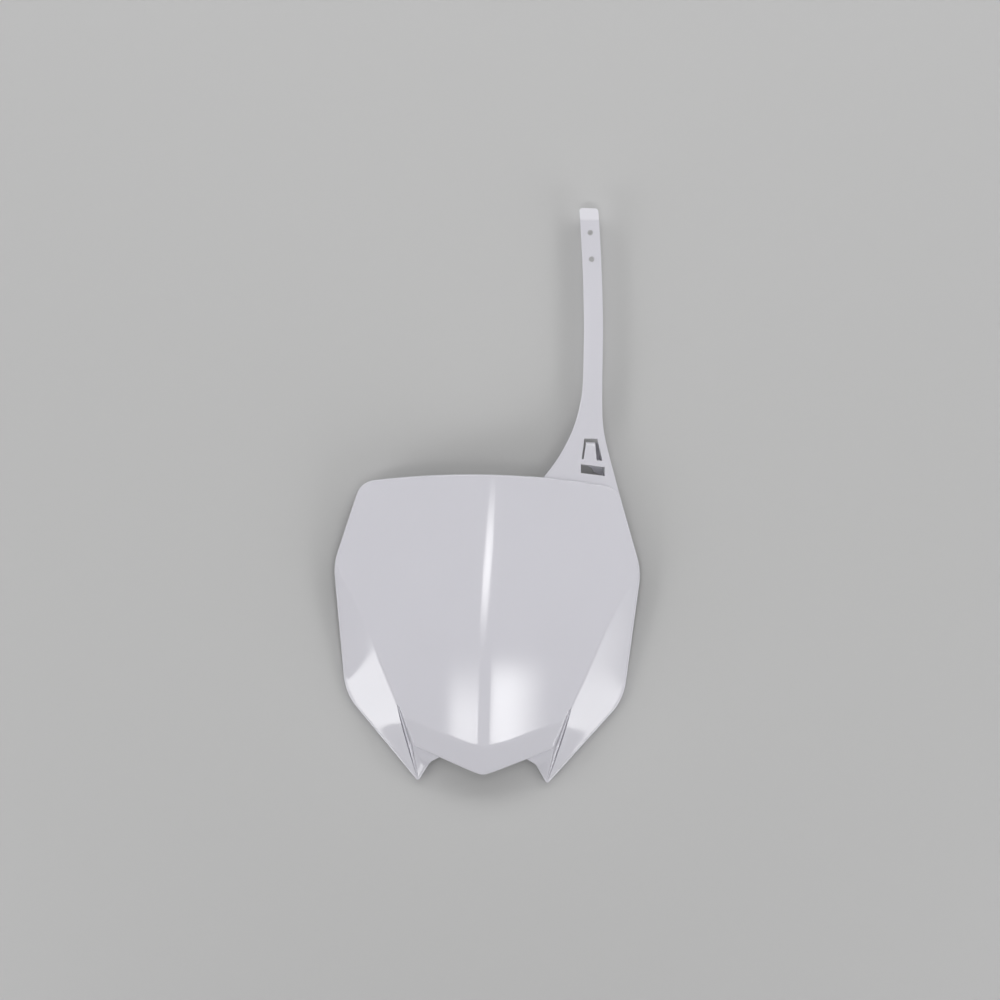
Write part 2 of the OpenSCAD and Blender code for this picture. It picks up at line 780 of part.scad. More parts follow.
// Window, slot and guide in the strap's root, drawn round the point where the bridge begins
guide_shift = 1.2;
guide_x = strap_x + guide_shift;
guide_y = top_y + window_y;
guide_z = strap_z(guide_x, guide_y);
slope_reach = 5;
guide_roll = atan(
    (strap_z(guide_x - slope_reach, guide_y) - strap_z(guide_x + slope_reach, guide_y)) / slope_reach / 2
);
guide_pitch = atan(
    (strap_z(guide_x, guide_y + slope_reach) - strap_z(guide_x, guide_y - slope_reach)) / slope_reach / 2
);
cut_depth = 2.4 * strap_h;

module guide_frame() {
    translate([guide_x, guide_y, guide_z]) rotate([guide_pitch, guide_roll, 0]) children();
}

module cut_through() {
    translate([0, 0, -cut_depth / 2]) linear_extrude(cut_depth) children();
}

// The window is a trapezium that leans to the left, and its lower edge slants a little
window_slant = 0.5;
window_lean = 1.8;
module window_cut() {
    cut_through()
        polygon([
            [-window_w / 2, window_slant],
            [window_w / 2, -window_slant],
            [window_top_w / 2 - window_lean / 2, window_h],
            [-window_top_w / 2 - window_lean / 2, window_h]
        ]);
}

// The slot slants more than the window, as the board's corner beside it does
slot_slant = 1;
slot_shift = 0.5;
module slot_cut() {
    cut_through()
        translate([slot_shift, -bridge])
        polygon([
            [-slot_w / 2, slot_slant - slot_h],
            [slot_w / 2, -slot_slant - slot_h],
            [slot_w / 2, -slot_slant],
            [-slot_w / 2, slot_slant]
        ]);
}

// Tongue that rises from the bridge into the window and curls down at its end
curl_r = 3.2;
curl_drop = 0.8;
tongue_gap = 2.4;
tongue_flare = 1.55;
tongue_base_gap = 1.4;
tongue_tip_gap = 4.2;
tongue_len = window_h - tongue_gap;
tongue_base_w = tongue_w * tongue_flare;
tongue_base_x = tongue_base_gap - window_w / 2;
tongue_tip_x = tongue_tip_gap - window_w / 2;

module tongue_profile() {
    bend_x = tongue_len - curl_r;
    translate([-bridge / 2, -tongue_t]) square([bend_x + bridge / 2, tongue_t]);
    intersection() {
        translate([bend_x, -curl_r]) difference() {
            circle(r = curl_r, $fn = 48);
            circle(r = curl_r - tongue_t, $fn = 48);
        }
        translate([bend_x, -curl_r - curl_drop]) square([curl_r, curl_r + curl_drop]);
    }
}

module tongue() {
    intersection() {
        translate([-window_w, 0, 0])
            rotate([90, 0, 90])
            linear_extrude(window_w * 2)
            tongue_profile();
        cut_through()
            polygon([
                [tongue_base_x, -bridge],
                [tongue_base_x + tongue_base_w, -bridge],
                [tongue_base_x + tongue_base_w, 0],
                [tongue_tip_x + tongue_w, tongue_len],
                [tongue_tip_x, tongue_len],
                [tongue_base_x, 0]
            ]);
    }
}

// Guide behind the window: a wall down from the strap's right side and a leaf that turns in from it.
// The wall leans to the left as the strap's side does, and the leaf narrows to a diagonal lower end.
leaf_t = 1.8;
guide_wall_x = 11.4;
guide_wall_lean = 4.2;
guide_top_gap = 1.4;
guide_low_rise = 0.9;
guide_top_y = window_h - guide_top_gap;
guide_low_y = guide_low_rise - bridge - slot_h;
leaf_top_w = 5.6;
leaf_low = [[8.3, 0.6], [3.4, 2.5], [2.1, 5.6], [-0.6, 6.6]];
module guide() {
    depth = strap_t + guide_gap + leaf_t;
    outer_x = guide_wall_x + leaf_t;
    translate([0, 0, -depth])
        linear_extrude(depth - strap_t / 2)
        polygon([
            [guide_wall_x, guide_low_y],
            [outer_x, guide_low_y],
            [outer_x - guide_wall_lean, guide_top_y],
            [guide_wall_x - guide_wall_lean, guide_top_y]
        ]);
    translate([0, 0, -depth])
        linear_extrude(leaf_t)
        polygon(concat(
            [[guide_wall_x + leaf_t / 2, guide_low_y]],
            [for (p = leaf_low) [p.x, p.y + guide_low_y]],
            [
                [guide_wall_x + leaf_t / 2 - guide_wall_lean - leaf_top_w, guide_top_y],
                [guide_wall_x + leaf_t / 2 - guide_wall_lean, guide_top_y]
            ]
        ));
}

module strap_hole(from_tip) {
    y = tip_y - from_tip;
    translate([strap_mid(y), y, 0]) cylinder(d = hole_d, h = strap_h + strap_t, $fn = 64);
}

module strap() {
    difference() {
        strap_band();
        guide_frame() window_cut();
        guide_frame() slot_cut();
        strap_hole(hole_end);
        strap_hole(hole_end + hole_pitch);
    }
    guide_frame() tongue();
    guide_frame() guide();
}

// Peg on the back: a shaft whose flat end rests on the ground, a cone, and a boss with four gusset ribs
peg_chamfer = 1;
gusset_t = 1.8;
gusset_reach = 11;
gusset_toe = 2;
root_depth = shell_drop / 2;
module peg(x) {
    top = face_z(x, peg_y) - root_depth;
    step = top - gusset_h;
    cone_h = (boss_d - peg_d) / 2;
    translate([x, peg_y, 0]) {
        cylinder(d1 = peg_d - 2 * peg_chamfer, d2 = peg_d, h = peg_chamfer, $fn = 64);
        translate([0, 0, peg_chamfer]) cylinder(d = peg_d, h = step - peg_chamfer, $fn = 64);
        translate([0, 0, step]) cylinder(d1 = peg_d, d2 = boss_d, h = cone_h, $fn = 64);
        translate([0, 0, step + cone_h]) cylinder(d = boss_d, h = top - step - cone_h, $fn = 64);
        for (a = [0 : 90 : 270]) {
            reach = [cos(a), sin(a)] * gusset_reach;
            end_z = face_z(x + reach.x, peg_y + reach.y) - root_depth;
            rotate([90, 0, a])
                translate([0, 0, -gusset_t / 2])
                linear_extrude(gusset_t)
                polygon([
                    [0, step + 2 * cone_h],
                    [0, top],
                    [gusset_reach, end_z],
                    [gusset_reach, end_z - gusset_toe]
                ]);
        }
    }
}

// The origin is the middle of the ground area under the part
low_y = min([for (p = edge_path(0, 0)) p.y]);
centre_y = (tip_y + low_y) / 2;

module number_board() {
    color(plastic)
        translate([0, -centre_y, 0]) {
            shell();
            strap();
            peg(peg_x);
            peg(-peg_x);
        }
}

number_board();
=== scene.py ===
"""Looks of the racing number board: a finely meshed moulding, its plastic, and a plain studio round it."""

import logging
import math
from collections.abc import Iterable, Sequence
from dataclasses import dataclass, field
from enum import Enum
from functools import cached_property, reduce
from typing import ClassVar

import bmesh
import bpy
import numpy as np
from mathutils import Matrix, Vector

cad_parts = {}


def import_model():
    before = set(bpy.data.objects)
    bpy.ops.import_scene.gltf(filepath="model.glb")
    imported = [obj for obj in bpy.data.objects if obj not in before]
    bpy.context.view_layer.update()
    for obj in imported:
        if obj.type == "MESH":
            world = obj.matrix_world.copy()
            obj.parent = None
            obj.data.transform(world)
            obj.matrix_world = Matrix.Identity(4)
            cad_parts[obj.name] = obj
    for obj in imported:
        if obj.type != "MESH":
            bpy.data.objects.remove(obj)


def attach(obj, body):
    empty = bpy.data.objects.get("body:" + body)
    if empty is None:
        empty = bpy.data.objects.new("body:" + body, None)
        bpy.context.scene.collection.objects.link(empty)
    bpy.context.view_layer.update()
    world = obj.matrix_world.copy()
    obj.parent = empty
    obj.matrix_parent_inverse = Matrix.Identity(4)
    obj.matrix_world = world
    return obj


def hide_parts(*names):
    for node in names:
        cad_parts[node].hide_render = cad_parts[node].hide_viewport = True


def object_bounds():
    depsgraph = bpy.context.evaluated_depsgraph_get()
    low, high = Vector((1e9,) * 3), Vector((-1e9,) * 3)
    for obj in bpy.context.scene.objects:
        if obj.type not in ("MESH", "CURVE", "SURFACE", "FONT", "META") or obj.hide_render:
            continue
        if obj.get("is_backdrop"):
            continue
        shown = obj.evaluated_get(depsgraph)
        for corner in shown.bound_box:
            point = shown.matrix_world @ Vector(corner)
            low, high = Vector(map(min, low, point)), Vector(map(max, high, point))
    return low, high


LOG = logging.getLogger("number_board")
MM = 0.001
NODE = "number_board"
BODY = "root"
SLOT = "board_plastic"
SMOOTH_BELOW = 35.0
ORIGIN = (0.0, 0.0, 0.0)
Row = list[np.ndarray]
Point = tuple[float, float]
Place = tuple[float, float, float]
Triangle = tuple[int, int, int]
Blend = float | np.ndarray


def unit(v: np.ndarray) -> np.ndarray:
    """Return v at length one."""
    return v / np.linalg.norm(v)


def inward(direction: np.ndarray) -> np.ndarray:
    """Return the direction a quarter turn clockwise, into the board along its clockwise edge."""
    return np.array([direction[1], -direction[0]])


def cross2(a: np.ndarray, b: np.ndarray) -> float:
    """Return the cross product of two plane vectors."""
    return float(a[0] * b[1] - a[1] * b[0])


def crossing(p: np.ndarray, u: np.ndarray, q: np.ndarray, v: np.ndarray) -> np.ndarray:
    """Return the point where the line through p along u meets the line through q along v."""
    return p + u * (cross2(q - p, v) / cross2(u, v))


def mix(a: Blend, b: Blend, t: float) -> Blend:
    """Return the blend of a and b at share t."""
    return a + (b - a) * t


def hump(t: float) -> float:
    """Return a curve that is 0 at both ends and 1 in the middle."""
    return 4 * t * (1 - t)


def clamp(t: float) -> float:
    """Return t held between 0 and 1."""
    return min(1.0, max(0.0, t))


def ease(t: float) -> float:
    """Return t held between 0 and 1, with a soft start and end."""
    s = clamp(t)
    return s * s * (3 - 2 * s)


def lift(p: np.ndarray, z: float) -> np.ndarray:
    """Return the plane point p at height z."""
    return np.array([p[0], p[1], z])


def lowered(row: Iterable[np.ndarray], drop: float) -> Row:
    """Return a row of points moved down by drop."""
    down = np.array([0.0, 0.0, drop])
    return [p - down for p in row]


def circle(radius: float, sides: int) -> list[Point]:
    """Return the corners of a circle round the origin, counterclockwise."""
    turns = [2 * math.pi * n / sides for n in range(sides)]
    return [(radius * math.cos(a), radius * math.sin(a)) for a in turns]


@dataclass(frozen=True)
class Steps:
    """How finely each stretch of the free edge and each field of the skin is divided."""

    top: int = 26
    corner: int = 14
    upper: int = 16
    shoulder: int = 10
    side: int = 16
    hip: int = 12
    lower: int = 30
    horn: int = 8
    inner: int = 4
    notch: int = 10
    end: int = 4
    across: int = 14
    beside: int = 5
    flank: int = 17
    valley: int = 12
    groove: int = 14
    edge: int = 4

    @property
    def horn_rows(self) -> int:
        """Rows from the place where the horn leaves the face to its point."""
        return self.flank + self.valley


@dataclass(frozen=True)
class Outline:
    """Half of the board's outline, clockwise from the middle of the top edge, in millimetres."""

    steps: Steps
    band: float = 4.75
    crisp: float = 0.25
    band_columns: Point = (0.4, 0.75)
    top_y: float = 118.8
    corner_x: float = 101.2
    corner_y: float = 111.0
    corner_run: float = 10.0
    shoulder: Point = (121.2, 45.8)
    shoulder_r: float = 50.0
    hip: Point = (109.9, -56.4)
    hip_r: float = 45.0
    horn: Point = (50.9, -124.6)
    horn_r: float = 2.0
    notch: Point = (41.6, -108.9)
    notch_r: float = 8.0
    notch_end_x: float = 34.0
    nose_y: float = -117.7
    nose_rise: float = 0.422
    nose_round: float = 3.6
    jowl_x: float = 54.9
    fold_y: float = -95.6
    fold_rise: float = 0.45
    fold_round: float = 14.2
    crease_bow: float = 6.6
    ridge_bow: float = 1.0
    split_y: float = -63.2
    valley_w: float = 4.4
    flank_lean: float = 0.36
    flank_curve: float = 0.3
    fold_share: float = 0.27
    least_r: float = 0.3

    @property
    def band_shares(self) -> tuple[float, ...]:
        """Places of the columns inside the band, as shares of its half width."""
        return (0.0, *self.band_columns, 1 - self.crisp / self.band)

    @property
    def i_band(self) -> int:
        """Station of the band's edge on the top edge."""
        return len(self.band_shares)

    @property
    def i_corner(self) -> int:
        """Station where the top corner's curve begins."""
        return self.i_band + self.steps.top + 1

    @property
    def columns(self) -> int:
        """Station in the middle of the top corner, which is also the number of columns of the face."""
        return self.i_corner + self.steps.corner // 2

    @property
    def i_shoulder(self) -> int:
        """Station in the middle of the shoulder, where the crease begins."""
        return self.i_corner + self.steps.corner + self.steps.upper + self.steps.shoulder // 2

    @property
    def i_horn(self) -> int:
        """Station where the horn's point begins."""
        s = self.steps
        return self.i_shoulder + s.shoulder // 2 + s.side + s.hip + s.lower

    @property
    def i_inner(self) -> int:
        """Station where the horn's point ends."""
        return self.i_horn + self.steps.horn

    @property
    def i_end(self) -> int:
        """Station where the notch meets the nose."""
        return self.i_inner + self.steps.inner + self.steps.notch + self.steps.end

    @property
    def cheek_rows(self) -> int:
        """Rows of the cheek, from the shoulder to the horn's point."""
        return self.i_horn + 1 - self.i_shoulder

    @property
    def crease_rows(self) -> int:
        """Rows of the cheek above the place where the horn leaves the face."""
        return self.cheek_rows - self.steps.horn_rows

    @cached_property
    def top_run(self) -> float:
        """Sideways place where the top edge's curve ends."""
        return self.corner_x - self.corner_run

    @cached_property
    def top_r(self) -> float:
        """Radius of the top edge."""
        return self.top_run * (self.corner_x - self.top_run / 2) / (self.top_y - self.corner_y)

    @cached_property
    def nose_cos(self) -> float:
        """Cosine of the slope of the nose's edge."""
        return 1 / math.hypot(1, self.nose_rise)

    def top_curve(self, x: float, inset: float) -> float:
        """Return the height of the top edge at x."""
        return self.top_y - x * x / (2 * self.top_r) - inset * math.hypot(1, x / self.top_r)

    def nose_curve(self, x: float, inset: float) -> float:
        """Return the height of the nose's edge at x."""
        bend = math.hypot(x, self.nose_round) - self.nose_round
        return self.nose_y + self.nose_rise * bend + inset / self.nose_cos

    def fold_curve(self, x: float) -> float:
        """Return the height of the fold above the nose at x."""
        return self.fold_y + self.fold_rise * (math.hypot(x, self.fold_round) - self.fold_round)

    @cached_property
    def corners(self) -> list[np.ndarray]:
        """Sharp corners of the outline.

        Returns:
            The corners, from the end of the top edge to the nose.
        """
        points = [
            (self.top_run, self.top_curve(self.top_run, 0)),
            (self.corner_x, self.corner_y),
            self.shoulder,
            self.hip,
            self.horn,
            self.notch,
            (self.notch_end_x, self.nose_curve(self.notch_end_x, 0)),
        ]
        return [np.array(p, float) for p in points]

    @cached_property
    def radii(self) -> list[float]:
        """Radius at each corner.

        Returns:
            The radii, negative where the outline turns the other way.
        """
        a, b, c = self.corners[:3]
        turn = math.acos(float(unit(b - a) @ unit(c - b)))
        corner_r = np.linalg.norm(b - a) / math.tan(turn / 2)
        return [0.0, float(corner_r), self.shoulder_r, self.hip_r, self.horn_r, -self.notch_r]

    def direction(self, i: int) -> np.ndarray:
        """Return the direction of the straight run after corner i."""
        return unit(self.corners[i + 1] - self.corners[i])

    def arc(self, i: int, inset: float, steps: int) -> Row:
        """Return the points of the curve at corner i.

        Args:
            i: Number of the corner.
            inset: Distance inside the outline.
            steps: Number of steps along the curve.

        Returns:
            The points, one more than the steps.
        """
        before, after = self.direction(i - 1), self.direction(i)
        start_line = self.corners[i - 1] + inset * inward(before)
        end_line = self.corners[i] + inset * inward(after)
        apex = crossing(start_line, before, end_line, after)
        turn = math.atan2(cross2(after, before), float(before @ after))
        radius = self.radii[i] - inset
        if self.radii[i] > 0:
            radius = max(self.least_r, radius)
        centre = apex - before * radius * math.tan(turn / 2) + inward(before) * radius
        heading = math.atan2(before[1], before[0])
        angles = [heading - turn * k / steps for k in range(steps + 1)]
        return [centre - inward(np.array([math.cos(h), math.sin(h)])) * radius for h in angles]

    def path(self, inset: float, nose_inset: float) -> Row:
        """Return half of the free edge, from the top centre to the nose.

        Args:
            inset: Distance inside the outline.
            nose_inset: Distance inside the nose's edge at which the notch ends.

        Returns:
            The points, one for each station.
        """
        s = self.steps
        corner = self.arc(1, inset, s.corner)
        shoulder = self.arc(2, inset, s.shoulder)
        hip = self.arc(3, inset, s.hip)
        horn = self.arc(4, inset, s.horn)
        notch = self.arc(5, inset, s.notch)
        nose_point = np.array([self.notch_end_x, self.nose_curve(self.notch_end_x, nose_inset)])
        meet = crossing(notch[-1], self.direction(5), nose_point, np.array([1.0, self.nose_rise]))
        last = np.array([meet[0], self.nose_curve(meet[0], nose_inset)])
        xs = [self.band * share for share in self.band_shares]
        xs += [self.band, self.band + self.crisp]
        xs += [mix(self.band, corner[0][0], k / s.top) for k in range(1, s.top)]
        points = [np.array([x, self.top_curve(x, inset)]) for x in xs]
        points += corner
        points += self.run(corner[-1], shoulder[0], s.upper)
        points += shoulder
        points += self.run(shoulder[-1], hip[0], s.side)
        points += hip
        points += self.run(hip[-1], horn[0], s.lower)
        points += horn
        points += self.run(horn[-1], notch[0], s.inner)
        points += notch
        points += self.run(notch[-1], last, s.end)
        return points + [last]

    @staticmethod
    def run(p: np.ndarray, q: np.ndarray, steps: int) -> Row:
        """Return the inner points of the straight run from p to q."""
        return [mix(p, q, k / steps) for k in range(1, steps)]

    def crease(self, edge: Row) -> Row:
        """Return the crease between the face and the cheek, continued as the horn's ridge.

        Args:
            edge: The free edge.

        Returns:
            The points, one for each row of the cheek.
        """
        head, foot = edge[self.i_shoulder], edge[self.i_horn + 1]
        split = (head[1] - self.split_y) / (head[1] - foot[1])
        points = [head]
        for k in range(1, self.crease_rows + 1):
            t = split * k / self.crease_rows
            points.append(mix(head, foot, t) - np.array([self.crease_bow * hump(t), 0.0]))
        root = points[-1]
        for k in range(1, self.steps.horn_rows):
            t = k / self.steps.horn_rows
            points.append(mix(root, foot, t) + np.array([self.ridge_bow * hump(t), 0.0]))
        return points + [foot]

    def jowl(self, inset: float) -> np.ndarray:
        """Return the lower corner of the face.

        Args:
            inset: Distance inside the outline.

        Returns:
            The corner.
        """
        corner = np.array([self.jowl_x, self.nose_curve(self.jowl_x, 0)])
        side = unit(np.array([-self.flank_lean, -1.0]))
        across = np.array([1.0, self.nose_rise])
        raised = corner + np.array([0, inset / self.nose_cos])
        p = crossing(corner + inset * inward(side), side, raised, across)
        return np.array([p[0], self.nose_curve(p[0], inset)])

    def flank_share(self, k: int) -> float:
        """Return how far down the face's side station k lies.

        Args:
            k: Station along the side.

        Returns:
            Its share of the way from the horn's root to the lower corner.
        """
        beside = self.steps.beside
        if k <= beside:
            return self.fold_share * k / beside
        return mix(self.fold_share, 1.0, (k - beside) / (self.steps.flank - beside))

    def flank(self, inset: float, crease: Row) -> Row:
        """Return the side of the face above the valley, from the horn's root to the lower corner.

        Args:
            inset: Distance inside the outline.
            crease: The crease and ridge.

        Returns:
            The points.
        """
        head, foot = crease[self.crease_rows], self.jowl(inset)
        points = [head]
        for k in range(1, self.steps.flank):
            s = self.flank_share(k)
            x = mix(head[0], foot[0] + self.valley_w, s) - self.valley_w * s**self.flank_curve
            points.append(np.array([x, mix(head[1], foot[1], s)]))
        return points + [foot]

    def nose(self, inset: float, meet_x: float) -> Row:
        """Return the edge of the nose, from the lower corner past the notch to the centre.

        Args:
            inset: Distance inside the outline.
            meet_x: Sideways place where the notch meets the nose.

        Returns:
            The points.
        """
        foot = self.jowl(inset)
        split = self.steps.valley
        free = self.columns - self.i_band - split
        xs = [mix(foot[0], meet_x, k / split) for k in range(1, split + 1)]
        xs += [mix(meet_x, self.band, k / free) for k in range(1, free - 1)]
        xs += [self.band + self.crisp, self.band]
        xs += [self.band * share for share in reversed(self.band_shares)]
        return [foot] + [np.array([x, self.nose_curve(x, inset)]) for x in xs]


@dataclass(frozen=True)
class FaceForm:
    """Heights of the board's surfaces above the ground, in millimetres."""

    outline: Outline
    face_h: float = 38.0
    crest_y: float = 20.0
    face_rx: float = 400.0
    face_ry: float = 800.0
    half_fall: float = 3.0
    band_crown: float = 0.1
    nose_roll: float = 19.0
    web_h: float = 12.0
    rim_depth: float = 5.0
    cheek_rise_power: float = 1.3
    ridge_power: float = 1.6

    def face_z(self, x: float, y: float) -> float:
        """Return the height of the face, before the nose rolls back.

        Args:
            x: Sideways place.
            y: Place along the board.

        Returns:
            The height.
        """
        band = self.outline.band
        w = abs(x)
        past = max(0.0, w - band)
        crown = self.band_crown * (1 - min(1.0, w / band) ** 2)
        fall = math.tan(math.radians(self.half_fall)) * past + past * past / (2 * self.face_rx)
        return self.face_h + crown - fall - (y - self.crest_y) ** 2 / (2 * self.face_ry)

    def panel_z(self, x: float, y: float) -> float:
        """Return the height of the face or of the nose below the fold."""
        past = max(0.0, self.outline.fold_curve(x) - y) / math.hypot(1, self.outline.fold_rise)
        return self.face_z(x, y) - math.tan(math.radians(self.nose_roll)) * past

    def ridge_z(self, k: int, crease: Row) -> float:
        """Return the height of the crease or of the horn's ridge.

        Args:
            k: Row of the cheek.
            crease: The crease and ridge.

        Returns:
            The height.
        """
        last = self.outline.crease_rows
        if k <= last:
            return self.face_z(*crease[k])
        fall = ((k - last) / self.outline.steps.horn_rows) ** self.ridge_power
        return mix(self.face_z(*crease[last]), self.rim_depth, fall)

    def cheek_edge_z(self, y: float, head: np.ndarray) -> float:
        """Return the height of the cheek's outer edge: level at the lower side, rising to the shoulder.

        Args:
            y: Place along the board.
            head: Where the crease begins at the shoulder.

        Returns:
            The height.
        """
        hip_y = self.outline.hip[1]
        rise = clamp((y - hip_y) / (head[1] - hip_y)) ** self.cheek_rise_power
        return self.rim_depth + (self.face_z(*head) - self.rim_depth) * rise

    def edge_z(self, i: int, edge: Row) -> float:
        """Return the height of the free edge.

        Args:
            i: Station along the edge.
            edge: The edge.

        Returns:
            The height.
        """
        o = self.outline
        if i <= o.i_shoulder:
            return self.face_z(*edge[i])
        if i <= o.i_inner:
            return self.cheek_edge_z(edge[i][1], edge[o.i_shoulder])
        return mix(self.rim_depth, self.web_h, (i - o.i_inner) / (o.i_end - o.i_inner))


class Mesher:
    """Collects patches of triangles that share their borders exactly."""

    weld_digits = 5

    def __init__(self) -> None:
        """Start with no points and no faces."""
        self.points: list[np.ndarray] = []
        self.faces: list[Triangle] = []

    @staticmethod
    def zip_rows(a: Sequence[float], b: Sequence[float], first_a: int, first_b: int) -> list[Triangle]:
        """Join two rows with triangles.

        Args:
            a: Stations along the first row.
            b: Stations along the second row.
            first_a: Number of the first row's first point.
            first_b: Number of the second row's first point.

        Returns:
            The triangles between the rows.
        """
        faces = []
        i = j = 0
        while i + j < len(a) + len(b) - 2:
            if j == len(b) - 1 or (i < len(a) - 1 and a[i + 1] <= b[j + 1]):
                faces.append((first_a + i + 1, first_b + j, first_a + i))
                i += 1
            else:
                faces.append((first_b + j + 1, first_b + j, first_a + i))
                j += 1
        return faces

    def add(self, points: Iterable[np.ndarray], faces: Iterable[Triangle], flip: bool) -> None:
        """Add points and the triangles between them.

        Args:
            points: The points.
            faces: Triangles, counted from the first of these points.
            flip: Turn the triangles over.
        """
        at = len(self.points)
        self.points.extend(points)
        self.faces.extend(
            (c + at, b + at, a + at) if flip else (a + at, b + at, c + at) for a, b, c in faces
        )

    def patch(self, rows: Sequence[Row], flip: bool = False) -> None:
        """Add a patch given as rows of points, each joined to the next.

        Args:
            rows: Rows, each with its points spread evenly from one side to the other.
            flip: Turn the patch over.
        """
        faces = []
        at = 0
        for row, following in zip(rows, rows[1:]):
            shares = [[k / max(1, len(r) - 1) for k in range(len(r))] for r in (row, following)]
            faces += self.zip_rows(shares[0], shares[1], at, at + len(row))
            at += len(row)
        self.add([p for row in rows for p in row], faces, flip)

    def seam(self, a: Row, b: Row, stations: Sequence[float], flip: bool = False) -> None:
        """Join line a, whose points are one station apart, to line b.

        Args:
            a: First line.
            b: Second line.
            stations: Stations of the second line's points.
            flip: Turn the seam over.
        """
        faces = self.zip_rows([float(k) for k in range(len(a))], stations, 0, len(a))
        self.add([*a, *b], faces, flip)

    def mirror(self) -> None:
        """Add the mirror image across the board's middle plane."""
        points = [p * np.array([-1.0, 1.0, 1.0]) for p in self.points]
        self.add(points, list(self.faces), True)

    def mesh(self, name: str, origin_y: float) -> bpy.types.Mesh:
        """Weld the patches into one closed mesh in metres.

        Args:
            name: Name of the mesh.
            origin_y: Place of the frame's origin along the board, in millimetres.

        Returns:
            The mesh.
        """
        places = np.round(np.array(self.points), self.weld_digits)
        unique, index = np.unique(places, axis=0, return_inverse=True)
        index = index.reshape(-1)
        faces = [tuple(int(index[v]) for v in reversed(face)) for face in self.faces]
        faces = [face for face in faces if len(set(face)) == 3]
        verts = (unique - np.array([0.0, origin_y, 0.0])) * MM
        mesh = bpy.data.meshes.new(name)
        mesh.from_pydata(verts.tolist(), [], faces)
        mesh.validate()
        return mesh


